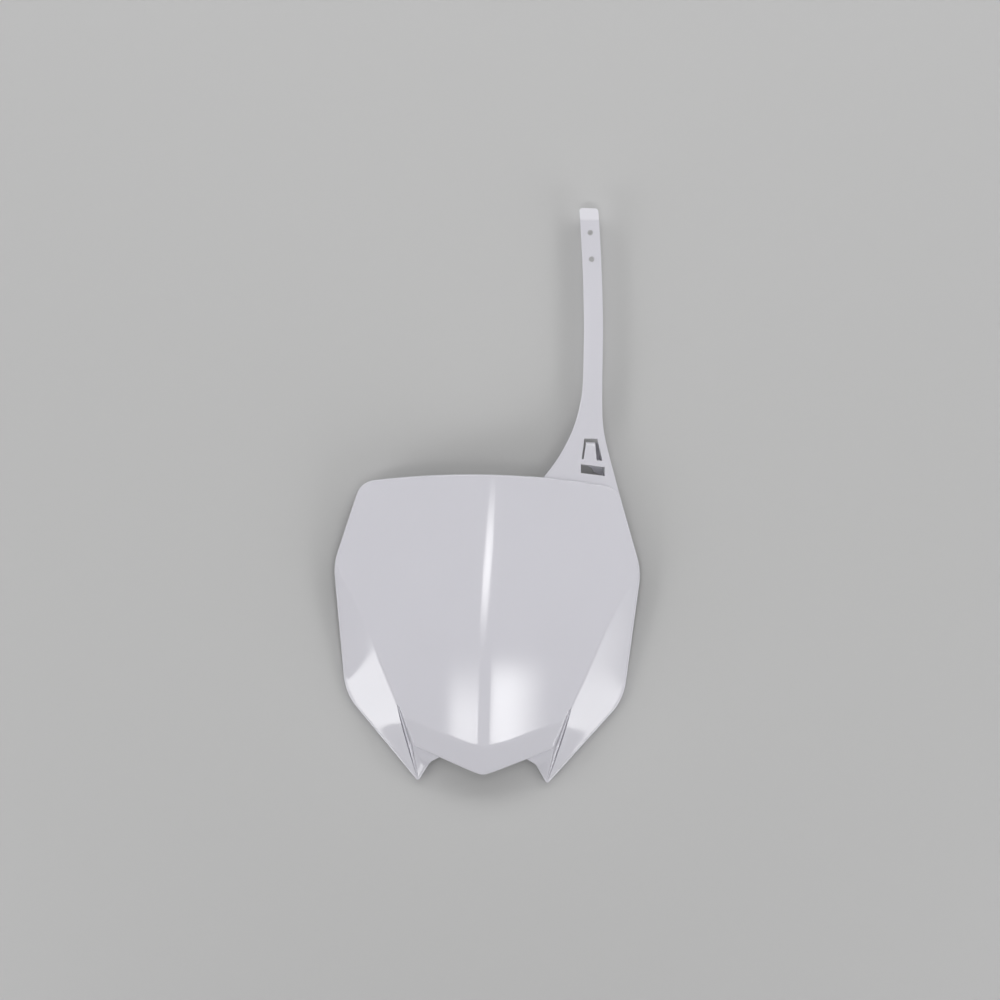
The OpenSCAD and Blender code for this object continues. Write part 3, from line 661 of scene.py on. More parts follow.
@dataclass
class BoardShell:
    """The moulded shell: face, cheeks, horns, webs, nose and the rim that turns back round them."""

    form: FaceForm
    wall: float = 2.2
    shell_drop: float = 2.42
    edge_r: float = 1.5
    lip_r: float = 0.4
    web_lip_depth: float = 0.6
    cheek_swell: float = 0.9
    swell_from: float = 20.0
    swell_fade: float = 20.0
    horn_dish: float = 0.8
    groove_depth: float = 1.6
    valley_gap: float = 0.05
    step_from: float = 0.5
    sharp_from: float = 26.0
    groove_profile: tuple[Point, ...] = (
        (0.0, 0.0), (0.13, -0.9), (0.3, 0.35), (0.62, -0.75), (1.0, 0.0)
    )
    mesher: Mesher = field(default_factory=Mesher)

    @property
    def outline(self) -> Outline:
        """Return the outline that the shell follows."""
        return self.form.outline

    @property
    def web_lip(self) -> float:
        """Return the height of the web's lower lip."""
        return self.form.web_h - self.shell_drop - self.web_lip_depth

    @cached_property
    def edge_profile(self) -> list[Point]:
        """Inset and fall of each line of the rounded edge.

        Returns:
            The pairs, from the face to the outer wall.
        """
        n = self.outline.steps.edge
        angles = [math.pi / 2 * k / n for k in range(n + 1)]
        return [(self.edge_r * (1 - math.sin(a)), self.edge_r * (1 - math.cos(a))) for a in angles]

    @cached_property
    def lip_profile(self) -> list[Point]:
        """Inset and rise of each line of the rim's lower lip.

        Returns:
            The pairs, from the outer wall to the inner.
        """
        r = self.lip_r
        outer = [(0.0, r), (r / 3, r / 3), (r, 0.0)]
        return outer + [(self.wall - inset, rise) for inset, rise in reversed(outer)]

    def lip_z(self, i: int, edge: Row) -> float:
        """Return the height of the rim's lower lip.

        Args:
            i: Station along the free edge.
            edge: The edge.

        Returns:
            The height.
        """
        o = self.outline
        if i <= o.i_inner:
            return self.form.edge_z(i, edge) - self.form.rim_depth
        return mix(0.0, self.web_lip, (i - o.i_inner) / (o.i_end - o.i_inner))

    def valley(self, crease: Row, flank: Row, edge: Row) -> Row:
        """Return the line of the valley between the horn and the face.

        Args:
            crease: The crease and ridge.
            flank: The side of the face.
            edge: The free edge.

        Returns:
            The points, one for each row of the horn.
        """
        o, s = self.outline, self.outline.steps
        points = [lift(flank[0], self.form.ridge_z(o.crease_rows, crease))]
        for k in range(1, s.flank + 1):
            points.append(lift(flank[k], self.form.panel_z(*flank[k]) - self.flank_step(k)))
        depth = self.form.ridge_z(o.crease_rows + s.flank, crease) - points[-1][2]
        for k in range(1, s.valley):
            along = k / s.valley
            place = mix(flank[s.flank], edge[o.i_inner], along)
            ridge = self.form.ridge_z(o.crease_rows + s.flank + k, crease)
            points.append(lift(place, ridge - depth * (1 - along)))
        return points + [lift(edge[o.i_inner], self.form.edge_z(o.i_inner, edge))]

    def flank_step(self, k: int) -> float:
        """Return how far the valley lies below the face's side at station k."""
        return self.valley_gap * min(1.0, k) + self.flank_fall(k, self.edge_r)

    def flank_fall(self, k: int, fall: float) -> float:
        """Return how much of the rounded edge's fall the face's side has at station k."""
        return fall * clamp((self.outline.flank_share(k) - self.step_from) / (1 - self.step_from))

    def face_rows(self, edge: Row, crease: Row, flank: Row) -> list[Row]:
        """Return the rows of the face, from the top edge down to the fold.

        Args:
            edge: The free edge.
            crease: The crease and ridge.
            flank: The side of the face.

        Returns:
            The rows, as plane points.
        """
        o = self.outline
        right = [edge[i] for i in range(o.columns, o.i_shoulder + 1)]
        right += crease[1 : o.crease_rows + 1]
        right += flank[1 : o.steps.beside + 1]
        top = edge[: o.columns + 1]
        width = top[-1][0] - o.band
        shares = [(p[0] - o.band) / width for p in top]
        sag = right[-1][1] - o.fold_curve(right[-1][0])
        fold = []
        for p, s in zip(top[:-1], shares):
            x = p[0] if s < 0 else mix(o.band, right[-1][0], s)
            fold.append(np.array([x, o.fold_curve(x) + sag * max(0.0, s) ** 2]))
        fold.append(right[-1])
        band, last = o.i_band, len(right) - 1
        rows = [top]
        for i in range(1, last):
            v = (right[0][1] - right[i][1]) / (right[0][1] - right[-1][1])
            left = mix(top[band], fold[band], v)
            row = [mix(top[j], fold[j], v) for j in range(band)]
            for j in range(band, o.columns):
                s = shares[j]
                ends = mix(mix(top[band], top[-1], s), mix(fold[band], fold[-1], s), v)
                row.append(mix(left, right[i], s) + mix(top[j], fold[j], v) - ends)
            rows.append(row + [right[i]])
        return rows + [fold]

    def nose_rows(self, fold: Row, flank: Row, nose: Row) -> list[Row]:
        """Return the rows of the nose below the fold.

        Args:
            fold: The last row of the face.
            flank: The side of the face.
            nose: The edge of the nose.

        Returns:
            The rows, as plane points.
        """
        o = self.outline
        count = o.steps.flank - o.steps.beside
        rows = []
        for i in range(1, count):
            v = i / count
            side = flank[i + o.steps.beside]
            lead = side - mix(fold[-1], nose[0], v)
            row = [mix(fold[j], nose[o.columns - j], v) for j in range(o.columns)]
            row = [p + lead * (j / o.columns) ** 2 for j, p in enumerate(row)]
            rows.append(row + [side])
        return rows + [nose[::-1]]

    def cheek_rows(self, edge: Row, crease: Row, drop: float) -> list[Row]:
        """Return the rows of the cheek, each from the crease out to the edge.

        Args:
            edge: The free edge.
            crease: The crease and ridge.
            drop: Distance below the outer skin.

        Returns:
            The rows.
        """
        o = self.outline
        rows = []
        for k in range(o.cheek_rows + 1):
            a = lift(crease[k], self.form.ridge_z(k, crease))
            b = lift(edge[o.i_shoulder + k], self.form.edge_z(o.i_shoulder + k, edge))
            if k in (0, o.cheek_rows):
                rows.append([a if k == 0 else b])
                continue
            swell = self.cheek_swell * min(1.0, float(np.linalg.norm(b - a)) / self.swell_from)
            below = (o.hip[1] - b[1]) / self.swell_fade
            swell *= clamp(1 - below) - self.horn_dish * clamp(below - 1)
            across = [j / o.steps.across for j in range(o.steps.across + 1)]
            rows.append([mix(a, b, u) + np.array([0, 0, swell * hump(u)]) for u in across])
        return [lowered(row, drop) for row in rows]

    def groove_z(self, u: float) -> float:
        """Return the height of the groove and rib beside the horn's ridge.

        Args:
            u: Share of the way from the ridge to the valley.

        Returns:
            The height, as a share of the groove's depth.
        """
        for (u0, z0), (u1, z1) in zip(self.groove_profile, self.groove_profile[1:]):
            if u <= u1:
                return mix(z0, z1, ease((u - u0) / (u1 - u0)))
        return 0.0

    def horn_rows(self, edge: Row, crease: Row, valley: Row, cut: float, drop: float) -> list[Row]:
        """Return the rows of the horn's steep inner side, each from the ridge to the valley.

        Args:
            edge: The free edge.
            crease: The crease and ridge.
            valley: The valley.
            cut: Depth of the groove.
            drop: Distance below the outer skin.

        Returns:
            The rows.
        """
        o, s = self.outline, self.outline.steps
        rows = []
        for k in range(s.horn_rows):
            a = lift(crease[o.crease_rows + k], self.form.ridge_z(o.crease_rows + k, crease))
            b = valley[k]
            if k == 0:
                rows.append([a])
                continue
            dip = cut * min(1.0, float(np.linalg.norm(b - a)) / o.valley_w)
            across = [j / s.groove for j in range(s.groove + 1)]
            rows.append([mix(a, b, u) + np.array([0, 0, dip * self.groove_z(u)]) for u in across])
        rows.append([lift(edge[i], self.form.edge_z(i, edge)) for i in range(o.i_horn + 1, o.i_inner + 1)])
        return [lowered(row, drop) for row in rows]

    def web_rows(self, edge: Row, valley: Row, inset: float, drop: float) -> list[Row]:
        """Return the rows of the recessed web between the horn and the nose.

        Args:
            edge: The free edge.
            valley: The valley.
            inset: Distance inside the nose's edge.
            drop: Distance below the outer skin.

        Returns:
            The rows.
        """
        o, s = self.outline, self.outline.steps
        last = [lift(edge[i], self.form.edge_z(i, edge)) for i in range(o.i_inner, o.i_end + 1)]
        n = len(last) - 1
        head = valley[s.flank]
        rows = [[head]]
        for r in range(1, s.valley):
            v = r / s.valley
            x = mix(head[0], edge[o.i_end][0], v)
            a = valley[s.flank + r]
            b = np.array([x, o.nose_curve(x, inset), mix(head[2], self.form.web_h, v)])
            row = [a]
            for j in range(1, n):
                bow = last[j] - mix(last[0], last[n], j / n)
                row.append(mix(a, b, j / n) + bow * v**2)
            rows.append(row + [b])
        return [lowered(row, drop) for row in rows + [last]]

    def face_point(self, p: np.ndarray, drop: float = 0.0) -> np.ndarray:
        """Return the point of the face over p."""
        return lift(p, self.form.face_z(*p) - drop)

    def nose_point(self, p: np.ndarray, drop: float = 0.0) -> np.ndarray:
        """Return the point of the face or the nose over p."""
        return lift(p, self.form.panel_z(*p) - drop)

    def skin(self, inner: bool) -> None:
        """Add one skin of the right half.

        Args:
            inner: Whether it is the hollow back and not the outer face.
        """
        o = self.outline
        inset = self.wall if inner else self.edge_r
        side = self.wall if inner else 0.0
        drop = self.shell_drop if inner else 0.0
        edge = o.path(inset, side)
        crease = o.crease(edge)
        flank = o.flank(inset, crease)
        meet_x = edge[o.i_end][0] if inner else o.path(0, 0)[o.i_end][0]
        valley = self.valley(crease, o.flank(side, crease), edge)
        face = self.face_rows(edge, crease, flank)
        nose = self.nose_rows(face[-1], flank, o.nose(inset, meet_x))
        face_points = [[self.face_point(p, drop) for p in row] for row in face]
        nose_points = [[self.nose_point(p, drop) for p in row] for row in nose]
        self.mesher.patch(face_points, inner)
        self.mesher.patch([face_points[-1], *nose_points], inner)
        self.mesher.patch(self.cheek_rows(edge, crease, drop), inner)
        cut = 0.0 if inner else self.groove_depth
        self.mesher.patch(self.horn_rows(edge, crease, valley, cut, drop), not inner)
        self.mesher.patch(self.web_rows(edge, valley, side, drop), not inner)

    def rim(self) -> None:
        """Add the rounded edge, the rim's wall and its lip along the free edge of the right half."""
        o = self.outline
        skin_edge = o.path(self.edge_r, 0)
        rounded = [(o.path(inset, 0), fall) for inset, fall in self.edge_profile]
        lip = [(o.path(inset, inset), rise) for inset, rise in self.lip_profile]
        back = lip[-1][0]
        rows = []
        for i in range(o.i_end + 1):
            z, low = self.form.edge_z(i, skin_edge), self.lip_z(i, skin_edge)
            row = [lift(path[i], z - fall) for path, fall in rounded]
            row += [lift(path[i], low + rise) for path, rise in lip]
            rows.append(row + [lift(back[i], self.form.edge_z(i, back) - self.shell_drop)])
        self.mesher.patch(rows)

    def nose_lip(self, j: int) -> float:
        """Return the height of the lip along the open nose.

        Args:
            j: Station along the nose's edge.

        Returns:
            The height.
        """
        o = self.outline
        centre = self.form.panel_z(0, o.nose_y) - self.form.rim_depth
        return mix(self.web_lip, centre, (j - o.steps.valley) / (o.columns - o.steps.valley))

    def face_border(self, crease: Row, inset: float, meet_x: float, fall: float, drop: float) -> Row:
        """Return the border of the face above the valley, the web and the open nose.

        Args:
            crease: The crease and ridge.
            inset: Distance inside the outline.
            meet_x: Sideways place where the notch meets the nose.
            fall: Fall of the rounded edge along the nose.
            drop: Distance below the outer skin.

        Returns:
            The points.
        """
        o = self.outline
        flank, nose = o.flank(inset, crease), o.nose(inset, meet_x)
        points = [self.face_point(flank[0], drop)]
        for k in range(1, o.steps.flank + 1):
            points.append(self.nose_point(flank[k], drop + self.flank_fall(k, fall)))
        return points + [self.nose_point(p, drop + fall) for p in nose[1:]]

    def nose_rim(self) -> None:
        """Add the edge and walls of the nose and of the face's side above the valley."""
        o, s = self.outline, self.outline.steps
        skin_edge = o.path(self.edge_r, 0)
        crease = o.crease(skin_edge)
        end = o.path(0, 0)[o.i_end]
        back = o.path(self.wall, self.wall)
        back_crease = o.crease(back)
        lines = [self.face_border(crease, inset, end[0], fall, 0) for inset, fall in self.edge_profile]
        line_back = self.face_border(back_crease, self.wall, back[o.i_end][0], 0, self.shell_drop)
        valley = self.valley(crease, o.flank(0, crease), skin_edge)
        valley_back = self.valley(back_crease, o.flank(self.wall, back_crease), back)
        web = self.web_rows(skin_edge, valley, 0, 0)
        web_back = self.web_rows(back, valley_back, self.wall, self.shell_drop)
        opened = range(s.valley, o.columns + 1)
        lips = []
        for inset, rise in self.lip_profile:
            nose = o.nose(inset, o.path(inset, inset)[o.i_end][0])
            lips.append([lift(nose[j], self.nose_lip(j) + rise) for j in opened])
        meet = s.flank + s.valley
        closed_at = [float(k) for k in range(1, meet + 1)]
        opened_at = [meet + 1.0] + [s.flank + j + 0.5 for j in opened][1:]
        corner = [
            lift(o.path(inset, 0)[o.i_end], self.form.web_h - fall)
            for inset, fall in self.edge_profile[1:]
        ]
        rows = [list(points) for points in zip(*lines)]
        self.mesher.patch([rows[0][:1], *rows[1:]])
        web_side = [row[-1] for row in web[1:]]
        web_back_side = [row[-1] for row in web_back[1:]]
        outer = valley[1 : s.flank + 1] + web_side + corner + lips[0]
        self.mesher.seam(lines[-1], outer, closed_at + [float(meet)] * len(corner) + opened_at, True)
        self.mesher.patch([list(points) for points in zip(*lips)])
        inner = lowered(valley_back[1 : s.flank + 1], self.shell_drop) + web_back_side + lips[-1]
        self.mesher.seam(line_back, inner, closed_at + opened_at)

    def build(self, origin_y: float) -> bpy.types.Object:
        """Build the shell as one closed mesh.

        Args:
            origin_y: Place of the frame's origin along the board, in millimetres.

        Returns:
            The shell's object.
        """
        self.skin(False)
        self.skin(True)
        self.rim()
        self.nose_rim()
        self.mesher.mirror()
        shell = Workshop.place("board_shell", self.mesher.mesh("board_shell", origin_y))
        Workshop.smooth(shell, self.sharp_from)
        return shell


class Wire:
    """A node's output whose arithmetic adds Math nodes to its tree."""

    def __init__(self, graph: "Graph", socket: bpy.types.NodeSocket) -> None:
        """Wrap a socket of a graph."""
        self.graph = graph
        self.socket = socket

    def __add__(self, other: "Value") -> "Wire":
        """Return the sum."""
        return self.graph.math("ADD", self, other)

    def __sub__(self, other: "Value") -> "Wire":
        """Return the difference."""
        return self.graph.math("SUBTRACT", self, other)

    def __rsub__(self, other: "Value") -> "Wire":
        """Return the other value less this one."""
        return self.graph.math("SUBTRACT", other, self)

    def __mul__(self, other: "Value") -> "Wire":
        """Return the product."""
        return self.graph.math("MULTIPLY", self, other)

    def __truediv__(self, other: "Value") -> "Wire":
        """Return the quotient."""
        return self.graph.math("DIVIDE", self, other)

    def __rtruediv__(self, other: "Value") -> "Wire":
        """Return the other value divided by this one."""
        return self.graph.math("DIVIDE", other, self)

    def __pow__(self, other: "Value") -> "Wire":
        """Return the power."""
        return self.graph.math("POWER", self, other)

    def at_least(self, other: "Value") -> "Wire":
        """Return the larger of the two."""
        return self.graph.math("MAXIMUM", self, other)

    def at_most(self, other: "Value") -> "Wire":
        """Return the smaller of the two."""
        return self.graph.math("MINIMUM", self, other)

    def size(self) -> "Wire":
        """Return the value without its sign."""
        return self.graph.math("ABSOLUTE", self)

    def eased(self) -> "Wire":
        """Return the value held between 0 and 1, with a soft start and end."""
        held = self.at_least(0.0).at_most(1.0)
        return held * held * (3 - held * 2)

    __radd__ = __add__
    __rmul__ = __mul__


Value = Wire | float


class Graph:
    """Builds the nodes of a shader or geometry tree."""

    def __init__(self, tree: bpy.types.NodeTree) -> None:
        """Start on an empty tree."""
        self.tree = tree
        self.tree.nodes.clear()

    def node(self, kind: str, settings: dict | None = None, inputs: dict | None = None) -> bpy.types.Node:
        """Add a node.

        Args:
            kind: Type of the node.
            settings: Its properties, which are set first.
            inputs: Values or wires for its sockets, by name or number.

        Returns:
            The node.
        """
        made = self.tree.nodes.new(kind)
        for name, value in (settings or {}).items():
            setattr(made, name, value)
        for key, value in (inputs or {}).items():
            if isinstance(value, Wire):
                self.tree.links.new(value.socket, made.inputs[key])
            else:
                made.inputs[key].default_value = value
        return made

    def wire(self, node: bpy.types.Node, output: str | int = 0) -> Wire:
        """Return an output of a node as a wire."""
        return Wire(self, node.outputs[output])

    def math(self, operation: str, *values: Value) -> Wire:
        """Add a Math node and return its result."""
        return self.wire(self.node("ShaderNodeMath", {"operation": operation}, dict(enumerate(values))))

    def vector(self, x: Value, y: Value, z: Value) -> Wire:
        """Return a vector made of three values."""
        return self.wire(self.node("ShaderNodeCombineXYZ", inputs={0: x, 1: y, 2: z}))

    def parts(self, vector: Wire) -> tuple[Wire, Wire, Wire]:
        """Return a vector's three values."""
        made = self.node("ShaderNodeSeparateXYZ", inputs={0: vector})
        return self.wire(made, 0), self.wire(made, 1), self.wire(made, 2)

    def moved(self, geometry: Wire, position: Wire) -> Wire:
        """Return a geometry with its points moved to a position."""
        inputs = {"Geometry": geometry, "Position": position}
        return self.wire(self.node("GeometryNodeSetPosition", inputs=inputs))

    def points(self, count: int) -> Wire:
        """Return a number of points at the origin."""
        inputs = {"Count": count, "Offset": ORIGIN}
        return self.wire(self.node("GeometryNodeMeshLine", {"mode": "OFFSET"}, inputs))

    def copies(self, points: Wire, instance: Wire, rotation: Wire | Place = ORIGIN) -> Wire:
        """Return a copy of a geometry on each point."""
        inputs = {"Points": points, "Instance": instance, "Rotation": rotation}
        return self.wire(self.node("GeometryNodeInstanceOnPoints", inputs=inputs))


class Workshop:
    """Steps that every piece goes through."""

    bevel_steps: ClassVar[int] = 3

    @staticmethod
    def place(name: str, mesh: bpy.types.Mesh) -> bpy.types.Object:
        """Add an object for a mesh to the scene.

        Args:
            name: Name of the object.
            mesh: Its mesh, already in place.

        Returns:
            The object, at the origin.
        """
        made = bpy.data.objects.new(name, mesh)
        bpy.context.scene.collection.objects.link(made)
        return made

    @staticmethod
    def bake(piece: bpy.types.Object) -> None:
        """Turn a piece and its modifiers into a plain mesh.

        Args:
            piece: The piece, which loses its modifiers.
        """
        bpy.context.view_layer.update()
        evaluated = piece.evaluated_get(bpy.context.evaluated_depsgraph_get())
        mesh = bpy.data.meshes.new_from_object(evaluated)
        mesh.name = piece.name
        piece.modifiers.clear()
        piece.data = mesh

    @staticmethod
    def smooth(piece: bpy.types.Object, sharp_from: float) -> None:
        """Shade a piece smooth, apart from edges sharper than an angle in degrees."""
        piece.data.shade_smooth()
        piece.data.set_sharp_from_angle(angle=math.radians(sharp_from))

    @staticmethod
    def loft(name: str, rings: Sequence[Sequence[Place]], to: Matrix | None = None) -> bpy.types.Object:
        """Make a solid through rings of points.

        Args:
            name: Name of the object.
            rings: Rings in millimetres, all with the same number of points.
            to: Where it goes, in metres, or nothing where it is already in place.

        Returns:
            The solid's object.
        """
        shape = bmesh.new()
        made = [[shape.verts.new([c * MM for c in point]) for point in ring] for ring in rings]
        for low, high in zip(made, made[1:]):
            for k in range(len(low)):
                n = (k + 1) % len(low)
                shape.faces.new((low[k], low[n], high[n], high[k]))
        shape.faces.new(made[0][::-1])
        shape.faces.new(made[-1])
        bmesh.ops.recalc_face_normals(shape, faces=shape.faces)
        mesh = bpy.data.meshes.new(name)
        shape.to_mesh(mesh)
        shape.free()
        if to is not None:
            mesh.transform(to)
        return Workshop.place(name, mesh)

    @staticmethod
    def prism(name: str, outline: Sequence[Point], low: float, high: float, to: Matrix) -> bpy.types.Object:
        """Make an upright prism.

        Args:
            name: Name of the object.
            outline: Corners in millimetres, counterclockwise.
            low: Height of its base in millimetres.
            high: Height of its top in millimetres.
            to: Where it goes, in metres.

        Returns:
            The prism's object.
        """
        return Workshop.loft(name, [[(x, y, z) for x, y in outline] for z in (low, high)], to)

    @staticmethod
    def modify(piece: bpy.types.Object, kind: str, **settings: object) -> bpy.types.Modifier:
        """Add a modifier.

        Args:
            piece: The piece.
            kind: Type of the modifier.
            **settings: Its properties.

        Returns:
            The modifier.
        """
        made = piece.modifiers.new(kind.lower(), kind)
        for name, value in settings.items():
            setattr(made, name, value)
        return made

    @staticmethod
    def bevel(piece: bpy.types.Object, width: float, sharp_from: float) -> None:
        """Round the sharp edges of a piece.

        Args:
            piece: The piece.
            width: Width of the rounding in millimetres.
            sharp_from: Angle in degrees from which an edge is sharp.
        """
        Workshop.modify(
            piece,
            "BEVEL",
            width=width * MM,
            segments=Workshop.bevel_steps,
            limit_method="ANGLE",
            angle_limit=math.radians(sharp_from),
        )

    @staticmethod
    def cut(piece: bpy.types.Object, cutters: Sequence[bpy.types.Object]) -> None:
        """Cut shapes out of a piece.

        Args:
            piece: The piece.
            cutters: The shapes, which are removed.
        """
        for cutter in cutters:
            Workshop.modify(piece, "BOOLEAN", operation="DIFFERENCE", solver="EXACT", object=cutter)
        Workshop.bake(piece)
        for cutter in cutters:
            bpy.data.objects.remove(cutter)

    @staticmethod
    def grow(piece: bpy.types.Object, tree: bpy.types.NodeTree, sizes: dict[str, float]) -> None:
        """Run a geometry tree on a piece and keep the result as its mesh.

        Args:
            piece: The piece.
            tree: The tree.
            sizes: Values for the tree's inputs, by name.
        """
        made = Workshop.modify(piece, "NODES", node_group=tree)
        for item in tree.interface.items_tree:
            if item.item_type == "SOCKET" and item.in_out == "INPUT" and item.name in sizes:
                made[item.identifier] = sizes[item.name]
        Workshop.bake(piece)


def geometry_tree(name: str, sizes: Iterable[str]) -> tuple[Graph, dict[str, Wire]]:
    """Start a geometry tree with one geometry input and named sizes.

    Args:
        name: Name of the tree.
        sizes: Names of its inputs.

    Returns:
        The graph, and its inputs as wires by name.
    """
    tree = bpy.data.node_groups.new(name, "GeometryNodeTree")
    tree.interface.new_socket("Geometry", in_out="INPUT", socket_type="NodeSocketGeometry")
    tree.interface.new_socket("Geometry", in_out="OUTPUT", socket_type="NodeSocketGeometry")
    for size in sizes:
        tree.interface.new_socket(size, in_out="INPUT", socket_type="NodeSocketFloat")
    graph = Graph(tree)
    source = graph.node("NodeGroupInput")
    return graph, {out.name: graph.wire(source, out.name) for out in source.outputs if out.name}


def finish_tree(graph: Graph, geometry: Wire, material: bpy.types.Material) -> bpy.types.NodeTree:
    """End a geometry tree with Realize Instances and Set Material.

    Args:
        graph: The graph.
        geometry: What it has made.
        material: The material of the result.

    Returns:
        The finished tree.
    """
    real = graph.node("GeometryNodeRealizeInstances", inputs={0: geometry})
    dressed = graph.node("GeometryNodeSetMaterial", inputs={0: graph.wire(real), "Material": material})
    graph.node("NodeGroupOutput", inputs={0: graph.wire(dressed)})
    return graph.tree


def face_height(sizes: dict[str, Wire], x: Wire, y: Wire) -> Wire:
    """Return the face's height at a place, as nodes.

    Args:
        sizes: Inputs named as the face's sizes are.
        x: Sideways place.
        y: Place along the board.

    Returns:
        The height.
    """
    past = (x.size() - sizes["Band"]).at_least(0.0)
    along = y - sizes["Crest"]
    across = past * sizes["Half slope"] + past * past / (sizes["Across radius"] * 2)
    return sizes["Face height"] - across - along * along / (sizes["Along radius"] * 2)


FACE_SIZES = ("Face height", "Crest", "Band", "Half slope", "Across radius", "Along radius")


def face_sizes(form: FaceForm, origin_y: float) -> dict[str, float]:
    """Return the values of the face's sizes, for a geometry tree.

    Args:
        form: The face.
        origin_y: Place of the frame's origin along the board, in millimetres.

    Returns:
        The values by name, in metres.
    """
    return {
        "Face height": form.face_h * MM,
        "Crest": (form.crest_y - origin_y) * MM,
        "Band": form.outline.band * MM,
        "Half slope": math.tan(math.radians(form.half_fall)),
        "Across radius": form.face_rx * MM,
        "Along radius": form.face_ry * MM,
    }


@dataclass
class HandlebarStrap:
    """The strap that leaves the board's top right corner, with its flared root, bent tip and two holes."""

    form: FaceForm
    root_drop: float = 1.9
    width: float = 14.8
    thickness: float = 2.6
    length: float = 211.8
    middle_x: float = 79.5
    height: float = 17.0
    tip_fall: float = 4.0
    tip_power: float = 1.2
    tip_len: float = 10.0
    tip_r: float = 2.6
    tip_steps: int = 9
    lean: float = 6.0
    lean_power: float = 1.6
    lean_from: float = 106.0
    left_flare: float = 28.4
    left_from: float = 80.0
    left_power: float = 2.2
    right_bend: float = 39.0
    right_slope: float = 0.3
    right_soft: float = 14.0
    root_below: float = 47.0
    root_over: float = 1.5
    lap_left: Point = (10.0, -10.0)
    lap_right: Point = (-21.0, -6.0)
    lap_bend: Point = (-2.0, -8.0)
    lap_power: float = 8.0
    level_from: float = 9.0
    level_len: float = 70.0
    hole_d: float = 4.2
    hole_end: float = 19.5
    hole_pitch: float = 20.8
    hole_sides: int = 64
    hole_reach: float = 10.0
    rows: int = 220
    columns: int = 24
    edge_r: float = 0.45
    sharp_from: float = 50.0

    @property
    def top_y(self) -> float:
        """Return the board's top edge, above which the strap is measured."""
        return self.form.outline.top_y

    @property
    def tip_y(self) -> float:
        """Return the end of the strap."""
        return self.top_y + self.length

    def middle(self, y: float) -> float:
        """Return the strap's middle line, which leans at its end."""
        past = max(0.0, y - self.top_y - self.lean_from) / (self.length - self.lean_from)
        return self.middle_x - self.lean * past**self.lean_power

    def left(self, y: float) -> float:
        """Return the strap's left edge."""
        share = max(0.0, self.top_y + self.left_from - y) / self.left_from
        return self.middle(y) - self.half(y) - self.left_flare * share**self.left_power

    def right(self, y: float) -> float:
        """Return the strap's right edge."""
        down = self.top_y + self.right_bend - y
        soft = math.hypot(down, self.right_soft)
        return self.middle(y) + self.half(y) + self.right_slope * (down + soft) / 2

    def half(self, y: float) -> float:
        """Return half of the strap's width, which is rounded at its end."""
        up = max(0.0, y - self.tip_y + self.tip_r)
        return self.width / 2 - self.tip_r + math.sqrt(max(0.0, self.tip_r**2 - up**2))

    def surface_z(self, x: float, y: float) -> float:
        """Return the height of the strap's front surface.

        Args:
            x: Sideways place.
            y: Place along the board.

        Returns:
            The height.
        """
        share = ease((y - self.top_y - self.level_from) / self.level_len)
        past = max(0.0, y - self.tip_y + self.tip_len)
        root = self.form.face_z(x, y) - self.root_drop
        return mix(root, self.height, share) - self.tip_fall * (past / self.tip_len) ** self.tip_power

    def places(self, start: float) -> list[float]:
        """Return the places of the rows along one side.

        Args:
            start: Where the side begins.

        Returns:
            The places, closer together round the tip.
        """
        turns = [math.pi / 2 * k / self.tip_steps for k in range(self.tip_steps + 1)]
        tip = [self.tip_y - self.tip_r * (1 - math.sin(a)) for a in turns]
        count = self.rows - len(tip)
        return [mix(start, tip[0], k / count) for k in range(count)] + tip

    def grid(self, origin_y: float) -> bpy.types.Object:
        """Lay out the strap's front as a flat grid of rows from its hidden root to its tip.

        Args:
            origin_y: Place of the frame's origin along the board, in millimetres.

        Returns:
            The grid's object.
        """
        o = self.form.outline
        root_y = o.shoulder[1] + self.root_below
        lefts = [np.array([self.left(self.top_y), self.top_y]) + self.lap_left]
        lefts += [np.array([self.left(y), y]) for y in self.places(self.top_y - self.root_over)]
        rights = [np.array([o.shoulder[0], root_y]) + self.lap_right]
        rights += [np.array([self.right(y), y]) for y in self.places(root_y)]
        lap_middle = np.array([o.corner_x, o.corner_y]) + self.lap_bend
        bend = lap_middle * 2 - lefts[0] - rights[0]
        verts = []
        for i, (a, b) in enumerate(zip(lefts, rights)):
            for j in range(self.columns + 1):
                u = j / self.columns
                p = mix(a, b, u) + bend * u * (1 - u) * (1 - i / self.rows) ** self.lap_power
                verts.append((p[0] * MM, (p[1] - origin_y) * MM, 0.0))
        wide = self.columns + 1
        faces = [
            (i * wide + j, i * wide + j + 1, (i + 1) * wide + j + 1, (i + 1) * wide + j)
            for i in range(self.rows)
            for j in range(self.columns)
        ]
        mesh = bpy.data.meshes.new("handlebar_strap")
        mesh.from_pydata(verts, [], faces)
        return Workshop.place("handlebar_strap", mesh)

    def drape_tree(self, material: bpy.types.Material) -> bpy.types.NodeTree:
        """Return the tree that lays the flat strap on the face, levels it and bends its tip.

        Args:
            material: The strap's plastic.

        Returns:
            The tree.
        """
        names = [*FACE_SIZES, "Root drop", "Level from", "Level length", "Level height"]
        names += ["Tip from", "Tip length", "Tip fall"]
        graph, given = geometry_tree("drape_strap", names)
        x, y, _ = graph.parts(graph.wire(graph.node("GeometryNodeInputPosition")))
        share = ((y - given["Level from"]) / given["Level length"]).eased()
        root = face_height(given, x, y) - given["Root drop"]
        past = ((y - given["Tip from"]) / given["Tip length"]).at_least(0.0)
        level = root + (given["Level height"] - root) * share
        z = level - given["Tip fall"] * past**self.tip_power
        return finish_tree(graph, graph.moved(given["Geometry"], graph.vector(x, y, z)), material)

